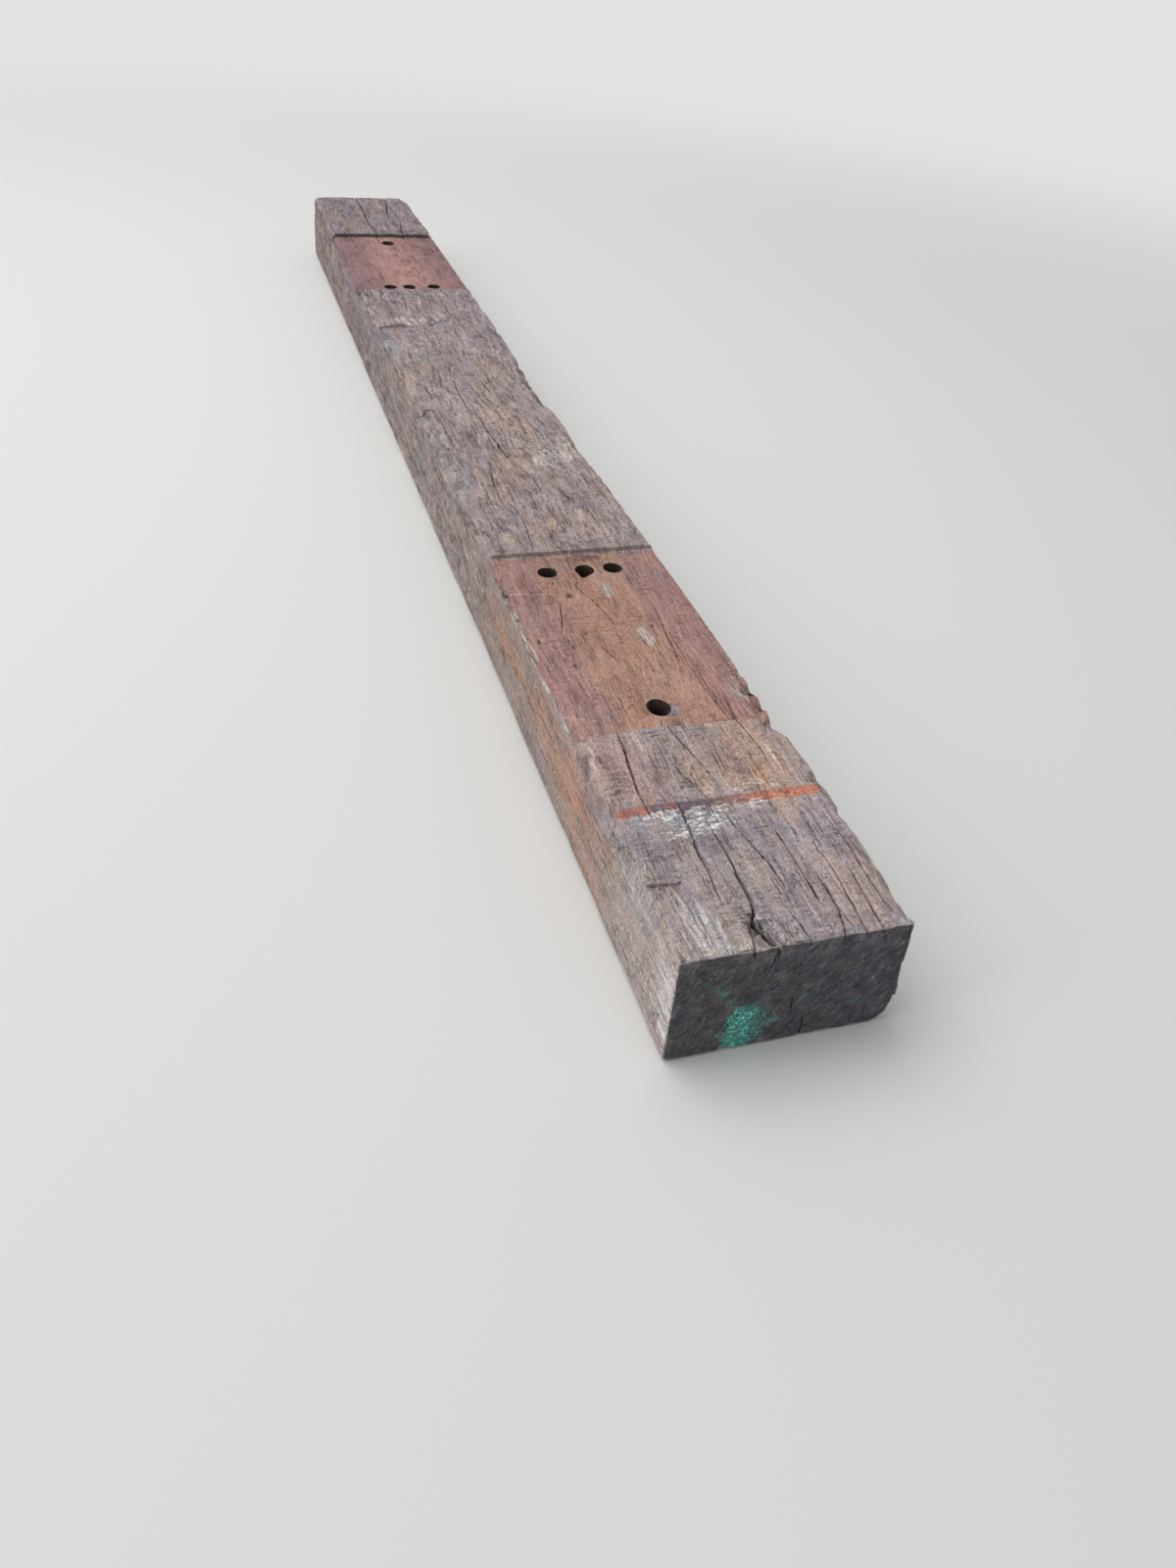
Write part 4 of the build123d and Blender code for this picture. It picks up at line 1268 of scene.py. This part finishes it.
# %% The band and the flecks
across = wood.y * 4 + 0.5  # about 0 at the left edge and 1 at the right one
wobble = (wood.noise((60, 60, 60), 3, 0.6, 47) - 0.5) * 0.008
bar = (wood.x + wobble).band(1.0925, 1.1065, 0.0022) * wood.y.band(-0.112, 0.110, 0.004)
bar *= wood.z.between(0.115, 0.125)
bar_worn = wood.noise((110, 150, 150), 5, 0.70, 49, None, 0.8).between(0.28, 0.46)
bar_colour = across.ramp(
    (0.02, 166, 106, 88), (0.18, 162, 100, 84), (0.21, 110, 93, 107), (0.26, 118, 92, 100),
    (0.285, 186, 106, 84), (0.32, 104, 90, 106), (0.44, 108, 88, 98), (0.54, 134, 96, 92),
    (0.64, 176, 108, 86),
    (0.95, 192, 116, 86))
flecks = wood.measure("flecks") * wood.noise((240, 85, 85), 4, 0.7, 53).between(0.515, 0.58)
ground = ground.coated(
    (bar * bar_worn * 0.84, bar_colour.tinted((streak.between(0.50, 0.36), 0.76))),
    (flecks, 234, 232, 230))
print(f"{len(wood.tree.nodes)} nodes with the band")

# %% [markdown]
# ## End grain and foot
# A sawn end drinks water and dirt and turns nearly black, with the saw's slanting marks in
# it and a brushed green mark; its dark colour is partly painted shade, and a lighter rim
# along its top and left edges is a painted highlight. The foot is stained by the ground it lay on.

# %% The end and the foot
# Short cracks in the near end, each as its ends' (across, up) in metres
END_CRACKS = [((0.022, 0.002), (0.020, 0.028)), ((-0.027, 0.112), (-0.024, 0.133)),
              ((0.004, 0.044), (0.003, 0.060))]
turned = wood.moved(Rotation=(-SAW_SLANT, 0, 0))
hewn = wood.noise((60, 70, 190), 6, 0.72, 31, turned, 0.6)
# A painted highlight along the end's top and left rims, broken by noise
rims = wood.z.between(0.104, 0.132).math("MAXIMUM", wood.y.between(-0.110, -0.119))
end_rim_highlight = rims * wood.noise((50, 50, 50), 4, 0.6, 33).between(0.42, 0.60)
# The end's dark ramp is partly the end grain's own colour and partly painted shade
end = hewn.ramp((0.30, 49, 47, 50), (0.43, 75, 73, 76), (0.55, 93, 89, 91), (0.70, 132, 126, 125))
end = end.coated(
    (patch.between(0.50, 0.66) * 0.5, 70, 67, 74),
    (wood.noise((1, 16, 20), 4, 0.6, 77).between(0.48, 0.62) * 0.35, 98, 88, 84),
    (end_rim_highlight * 0.5, 132, 124, 120))
for start, stop in END_CRACKS:
    end = end.coated((wood.scratch(wood.y, wood.z, start, stop, 0.0014), 26, 22, 22))
green = wood.measure("green")
green_break = wood.noise((220, 260, 330), 5, 0.74, 59, turned, 1.0)
dabs = green + (wood.noise((1, 75, 75), 4, 0.65, 101) * 1.6 - 0.86)
film = (dabs + (green_break * 1.5 - 0.75)).between(0.15, 1.0) * green.between(0.05, 0.45)
bright = dabs.between(0.25, 1.0) * green_break.between(0.49, 0.58)
end = end.coated((film * 0.66, 66, 146, 132), (bright * 0.9, 132, 228, 208))
foot = wood.noise((40, 60, 60), 6, 0.66, 37).ramp(
    (0.30, 84, 72, 70), (0.46, 122, 106, 102), (0.58, 144, 128, 122), (0.72, 176, 160, 150))
foot = foot.coated((patch.between(0.50, 0.66) * 0.6, 98, 84, 84))
print(f"{len(wood.tree.nodes)} nodes with the end and the foot")

# %% [markdown]
# ## Laying the faces together
# The faces are blended by their shares. Then every size of grain, from streaks down to grit,
# is multiplied in, weaker in the rust prints, where iron and years of wear closed the wood.
# The far half gets clods and fissures as well, because fine grain blurs away over there.

# %% Fine grain over all
in_print = wood.measure("seat_share").between(0.35, 0.65)
on_end = (wood.measure("end_share") + (patch - 0.5) * 0.5).between(0.74, 0.92)
not_end = 1 - on_end
# painted shade, near black, in the chips of the left edge
chip_shade = wood.measure("dark").between(0.95, 1.35)
colour = ground.coated(
    (in_print, seat),
    (on_end, end),
    (wood.measure("foot_share").between(0.35, 0.65), foot),
    (chip_shade * 0.85, 70, 64, 68))
long_share = 0.50 - on_side * 0.22
for share, fine, dim, full in (
    (long_share, thread, 0.60, 1.24),
    (long_share, fibre, 0.62, 1.24),
    (0.80 - in_print * 0.35, hatch, 0.58, 1.28),
    (0.62 - in_print * 0.40, chatter, 0.56, 1.18),
    (0.60, grit, 0.58, 1.24),
):
    colour = colour.tinted((share, fine.ramp((0.32, dim), (0.49, 1.0), (0.68, full))))
COLD, WARM = (0.90, 0.945, 1.01, 1), (1.09, 1.02, 0.94, 1)
for share, tint in ((0.8 - on_side * 0.35, wood.noise((9, 60, 60), 5, 0.68, 79, grain)),
                    (0.45, wood.noise((160, 420, 420), 3, 0.6, 81, crossed))):
    colour = colour.tinted((share, tint.ramp((0.36, *COLD), (0.50, 1.0), (0.64, *WARM))))
far_half = wood.x.between(0.60, 0.50)
clods = wood.noise((26, 105, 105), 5, 0.72, 93, grain, 0.5).ramp(
    (0.34, 0.58), (0.44, 0.99), (0.54, 1.08), (0.66, 1.50))
fissures = wood.noise((11, 80, 80), 4, 0.60, 97, grain, 0.3).contour(0.050)
fissures = fissures * wood.noise((22, 60, 60), 3, 0.6, 99).between(0.50, 0.56) * far_half
colour = colour.tinted(
    (far_half * (0.9 - in_print * 0.5), clods), (fissures * (0.85 - in_print * 0.6), 0.42))
print(f"{len(wood.tree.nodes)} nodes with the fine grain")

# %% [markdown]
# ## Light and dark along the timber
# Soft steps of brightness and warmth along the timber, with borders that noise frays, keep
# its stretches apart: it is lighter towards the near end and darker towards the far end.
# Cracks and holes come last and dark. Painted shade darkens the deep hollows, the far seat's
# outer shoulder slope and the splits, and the worn edges get a pale rim that is partly wear
# and partly a painted highlight.

# %% Tones, cracks and torn rims
LIFT = 1.42  # the fine grain only took light away
worn_x = wood.noise((16, 14, 14), 5, 0.66, 95) * 0.22 + (wood.x - 0.11)
before_band = across.ramp((0.05, 1.08, 0.95, 0.92, 1), (0.22, 1.08, 0.95, 0.93, 1),
                          (0.36, 1.02, 0.99, 0.97, 1), (0.70, 1.06, 1.0, 0.92, 1))
past_band = across.ramp((0.45, 0.985, 1.02, 1.05, 1), (0.75, 0.985, 1.02, 1.10, 1))
cross_lines = wood.noise((130, 20, 20), 4, 0.6, 89, None, 0.4).contour(0.016)
cross_lines = cross_lines * wood.noise((14, 22, 22), 3, 0.5, 91).between(0.48, 0.60) * not_end
colour = colour.tinted(
    (wood.x.between(0.55, 1.05), 1.15),
    (worn_x.band(0.965, 1.09, 0.035), before_band),
    (worn_x.between(1.07, 1.17), past_band),
    (wood.x.between(-0.1, -0.4) * (1 - in_print), 0.99, 1.0, 1.05, 1),
    (wood.x.between(1.05, 1.25) * on_side, 1.18),
    (wood.x.between(0.1, -1.1), 0.80),
    (check_lines * (not_end * (0.8 - in_print * 0.45)), 0.45),
    # painted shade in the deep hollows of the relief
    (wood.measure("hollow").between(0.45, 1.0), 0.84),
    (1.0, LIFT),
    (cross_lines * (0.75 - in_print * 0.5), 0.55),
    (worm * 0.8, 0.40))
# Painted shade on the far seat's outer shoulder slope, which faces the near end: dark brown.
riser = (wood.x + wander * 0.05).band(-SEAT_OUTER + 0.0005, -SEAT_OUTER + OUTER_RUN - 0.001, 0.0012)
riser = riser * wood.z.between(0.120, 0.124) * wood.measure("side_share").between(0.6, 0.4)
# A pale rim along the worn edges: partly pale worn wood and partly a painted highlight on the arris,
# with more of it where the left edge by the near seat is torn.
rim = wood.measure("edge_wear").between(0.45, 0.95) * streak.between(0.40, 0.55)
torn_edge = wood.x.band(0.67, 0.97, 0.02) * wood.y.between(-0.09, -0.11) * 0.38
colour = colour.coated(
    (riser * 0.85, 52, 40, 38), (rim * (torn_edge + 0.5), 204, 190, 180),
    # painted shade in the splits, on the steps' broken lips and in the lost piece
    (wood.measure("split_dark").between(0.25, 0.8) * 0.93, 34, 28, 26))
print(f"{len(wood.tree.nodes)} nodes with the cracks")

# %% [markdown]
# ## Relief too fine to model
# Fibres stand up by tenths of a millimetre. The same noises that darken them also tilt the
# surface, so that light and colour agree about where each furrow is.

# %% Fine relief, and the finish goes on
height = fibre * 0.6 + streak * 0.6 + thread * 0.9 + hatch * 1.2
height = height + chatter * (0.7 - in_print * 0.45) + grit * 0.4
height = height - check_lines * not_end * 0.9 - cross_lines * 0.6 - worm * 0.8 + hewn * on_end * 1.4
bump = wood.add("ShaderNodeBump", {"Height": height, "Distance": 0.0022, "Strength": 1.0})
wood.cover(timber, {"Base Color": colour, "Roughness": 0.93, "Specular IOR Level": 0.22, "Normal": bump})

bored = Finish("bored_wood")
dark_bore = bored.noise((200, 200, 60), 4).ramp((0.35, 30, 22, 18), (0.6, 62, 42, 32))
bored.cover(drill, {"Base Color": dark_bore, "Roughness": 0.95})
print(f"{len(wood.tree.nodes)} nodes in all, and {len(bored.tree.nodes)} in the bores' finish")

# %% [markdown]
# ## Cutting the holes
# The cutter takes its own dark finish into the holes, so their walls are dark from the
# start. Smooth shading follows, with sharp edges kept where two faces meet steeply.

# %% The holes are cut
cut = timber.modifiers.new("bored", "BOOLEAN")
cut.operation, cut.solver, cut.object = "DIFFERENCE", "MANIFOLD", drill
cut.material_mode = "TRANSFER"
bpy.context.view_layer.objects.active = timber
bpy.ops.object.modifier_apply(modifier=cut.name)
bpy.data.objects.remove(drill)
timber.data.shade_smooth()
timber.data.set_sharp_from_angle(angle=math.radians(48))  # faces meeting more steeply stay sharp
timber.data.calc_loop_triangles()
print(f"bored timber has {len(timber.data.loop_triangles)} triangles")

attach(timber, "root")
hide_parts("sleeper")

# %% [markdown]
# ## Torn fibres
# Where an edge was bruised, fibres tore loose at one end and stand off as fine slivers.
# Each is a thin bar with four corners all along, thick in the middle and drawn out to both
# tips. They are laid on the wood by looking straight down on it at three places of each.

# %% Slivers
SLIVER_STATIONS = np.array([0, 0.2, 0.5, 0.8, 1])
SLIVER_TAPER = np.array([0.25, 0.85, 1, 0.7, 0.12])  # its width there, as a share of the widest
LOWEST, STEEPEST = 0.1, 0.005  # a sliver lower than this or over a step of this height is left out
# Zones are (how many, from and to along, from and to across, length, width), in millimetres.
FIBRE_ZONES = [
    (34, 690, 820, -117.5, -113, (14, 42), (0.8, 2.0)), (26, 862, 966, 96, 110, (12, 34), (0.8, 2.6)),
    (12, 640, 664, -117, -108, (8, 18), (0.8, 1.8)), (16, 968, 1005, 92, 104, (12, 30), (0.8, 2.2)),
    (30, -150, 50, 84, 104, (14, 44), (1.0, 3.0)), (20, 1180, 1292, 96, 108, (14, 40), (0.8, 2.0)),
    (14, 30, 110, -112, -90, (8, 26), (0.8, 2.0)), (10, 1190, 1215, -112, -88, (8, 20), (0.6, 1.6)),
    (14, -370, -330, -90, 20, (8, 24), (0.8, 2.0)),
]


def lay_down(xs, ys):
    """The height of the wood straight below each of some places, 0 where there is none."""
    heights = []
    for x, y in zip(xs, ys):
        hit, _, _, _ = timber_tree.ray_cast(Vector((x, y, 0.3)), Vector((0, 0, -1)))
        heights.append(hit.z if hit else 0)
    return np.array(heights)


def sliver_points():
    """Every sliver's rings, (slivers, stations, 4, 3). Its axis runs along the grain with a
    small turn, its middle bows up a little, and its ends follow the wood's height."""
    rng = np.random.default_rng(77)
    laid = []
    for count, from_x, to_x, from_y, to_y, lengths, widths in FIBRE_ZONES:
        for _ in range(count):
            x, y = rng.uniform(from_x, to_x) * MM, rng.uniform(from_y, to_y) * MM
            length, width = rng.uniform(*lengths) * MM, rng.uniform(*widths) * MM
            turn, bow = rng.normal(0, 0.09), rng.uniform(0, 1.2) * MM
            run = (SLIVER_STATIONS - 0.5) * length
            xs, ys = x + run * math.cos(turn), y + run * math.sin(turn)
            ground = lay_down(xs[[0, 2, 4]], ys[[0, 2, 4]])
            if ground.min() < LOWEST or np.ptp(ground) > STEEPEST:
                continue
            zs = np.interp(SLIVER_STATIONS, [0, 0.5, 1], ground) + bow * SLIVER_STATIONS**2 * 1.5
            size = width * SLIVER_TAPER[:, None]
            corners = np.array([(1, 0), (0, 1), (-1, 0), (0, -1)])
            across, up = corners[:, 0] * size / 2, corners[:, 1] * size * 0.32
            ring = [np.broadcast_to(xs[:, None], (5, 4)), ys[:, None] + across, zs[:, None] + up]
            laid.append(np.stack(ring, axis=-1))
    return np.array(laid)


print(f"{sum(zone[0] for zone in FIBRE_ZONES)} slivers to try in {len(FIBRE_ZONES)} zones")

# %% [markdown]
# ## The slivers become one piece
# The rings of a sliver are joined by four-sided walls, and both tips are closed. All slivers
# share one mesh and one bleached finish.

# %% The slivers become one piece
timber_tree = BVHTree.FromObject(timber, bpy.context.evaluated_depsgraph_get())
fibres = sliver_points()
count, steps = len(fibres), len(SLIVER_STATIONS)
first = (np.arange(count) * steps * 4)[:, None, None]
ring, corner = np.meshgrid(np.arange(steps - 1), np.arange(4), indexing="ij")
ahead = (corner + 1) % 4
wall = np.stack([first + ring * 4 + corner, first + (ring + 1) * 4 + corner,
                 first + (ring + 1) * 4 + ahead, first + ring * 4 + ahead], axis=-1).reshape(-1, 4)
tip = first[:, 0] + np.arange(4)
tips = np.concatenate([tip, (tip + (steps - 1) * 4)[:, ::-1]])
lowest, highest = (-HALF_LENGTH, -HALF_WIDTH, 0), (HALF_LENGTH, HALF_WIDTH, HEIGHT)
inside = np.clip(fibres.reshape(-1, 3), lowest, highest)
torn = make_piece("torn_fibres", inside, (wall[:, ::-1], tips[:, ::-1]))
raw = Finish("torn_fibre")
bleached = raw.noise((30, 300, 300), 3, 0.6, 61).ramp(
    (0.32, 98, 82, 78), (0.50, 148, 130, 122), (0.66, 188, 172, 162))
raw.cover(torn, {"Base Color": bleached, "Roughness": 0.95})
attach(torn, "root")
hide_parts("sleeper")
print(f"{count} torn fibres")

# %% [markdown]
# ## Floor
# The floor is plain and pale. Further out it fades into the backdrop, so that no horizon
# shows. Only the camera sees the fade: the light that the floor throws back stays as it is.

# %% Floor
FLOOR_REACH = 14
FADE_FROM, FADE_TO = 1.4, 4.2  # metres from the middle of the sleeper's underside
BACKGROUND = light(226, 226, 224)
floor_mesh = bpy.data.meshes.new("floor")
floor_corners = [(x * FLOOR_REACH, y * FLOOR_REACH, 0) for x, y in ((-1, -1), (1, -1), (1, 1), (-1, 1))]
floor_mesh.from_pydata(floor_corners, [], [(0, 1, 2, 3)])
floor = bpy.data.objects.new("floor", floor_mesh)
bpy.context.scene.collection.objects.link(floor)

pale = Finish("pale_floor")
away = pale.add("ShaderNodeVectorMath", {0: pale.place}, "Value", operation="LENGTH")
backdrop = pale.add("ShaderNodeEmission", {"Color": BACKGROUND})
faded = away.between(FADE_FROM, FADE_TO) * pale.seen()
pale.cover(floor, {"Base Color": light(224, 223, 220), "Roughness": 0.9})
pale.set(pale.output, {0: pale.add("ShaderNodeMixShader", {0: faded, 1: pale.surface, 2: backdrop})})
print(f"floor of {2 * FLOOR_REACH} m, fading from {FADE_FROM} m to {FADE_TO} m")

# %% [markdown]
# ## Light
# The photograph was taken under an overcast sky. A wide soft lamp overhead stands in for
# it, and a weaker one lights the left side, which faces the camera. The world adds a little
# cool light from all round, and what the camera sees of it is the plain backdrop.

# %% Sky and lamps
studio = Nodes(bpy.data.worlds.new("studio"), "ShaderNodeOutputWorld")
bpy.context.scene.world = studio.owner
sky = studio.add("ShaderNodeBackground", {"Color": (0.93, 0.96, 1, 1), "Strength": 0.45})
plain = studio.add("ShaderNodeBackground", {"Color": BACKGROUND})
studio.set(studio.output, {0: studio.add("ShaderNodeMixShader", {0: studio.seen(), 1: sky, 2: plain})})


def soft_lamp(name, place, target, size, power):
    """A square area lamp at a place, turned so that its -Z axis points at the target."""
    lamp = bpy.data.lights.new(name, "AREA")
    lamp.shape, lamp.size, lamp.energy = "SQUARE", size, power
    holder = bpy.data.objects.new(name, lamp)
    holder.location = place
    holder.rotation_euler = (Vector(target) - Vector(place)).to_track_quat("-Z", "Y").to_euler()
    bpy.context.scene.collection.objects.link(holder)


soft_lamp("sky", (-1.0, -1.8, 5.0), (0, 0, 0), 5.0, 190)
soft_lamp("left_fill", (1.2, -5.5, 3.2), (0.3, 0, 0.1), 3.0, 75)

# %% [markdown]
# ## Camera
# The photographer stood past the near end, a little to the left, and looked down along
# the timber. The place and turn were fitted to the corners, seat edges and screw holes.

# %% The photograph's view
CAMERA_PLACE = Vector((1.936, -0.461, 0.883))
HEADING, TILT, ROLL = math.radians(159.28), math.radians(-38.25), math.radians(6.09)
LENS = 27.5  # millimetres, for a 36 mm wide sensor

flat = math.cos(TILT)
forward = Vector((math.cos(HEADING) * flat, math.sin(HEADING) * flat, math.sin(TILT)))
level_right = forward.cross(Vector((0, 0, 1))).normalized()
level_up = level_right.cross(forward)
right = level_right * math.cos(ROLL) + level_up * math.sin(ROLL)
up = right.cross(forward)
lens = bpy.data.cameras.new("photograph")
lens.lens, lens.sensor_width = LENS, 36
lens.clip_start, lens.clip_end = 0.01, 100
camera = bpy.data.objects.new("photograph", lens)
turn = Matrix((right, up, -forward)).transposed()
camera.matrix_world = Matrix.Translation(CAMERA_PLACE) @ turn.to_4x4()
bpy.context.scene.collection.objects.link(camera)
bpy.context.scene.camera = camera
bpy.context.scene.view_settings.view_transform = "Standard"
past_end = CAMERA_PLACE.x - HALF_LENGTH
print(f"camera {past_end:.2f} m past the near end and {CAMERA_PLACE.z:.2f} m above the ground")

# %% [markdown]
# ## Sizes, and the end
# The finished surface has to stay inside the solid model's box.

# %% Sizes
bpy.context.view_layer.update()
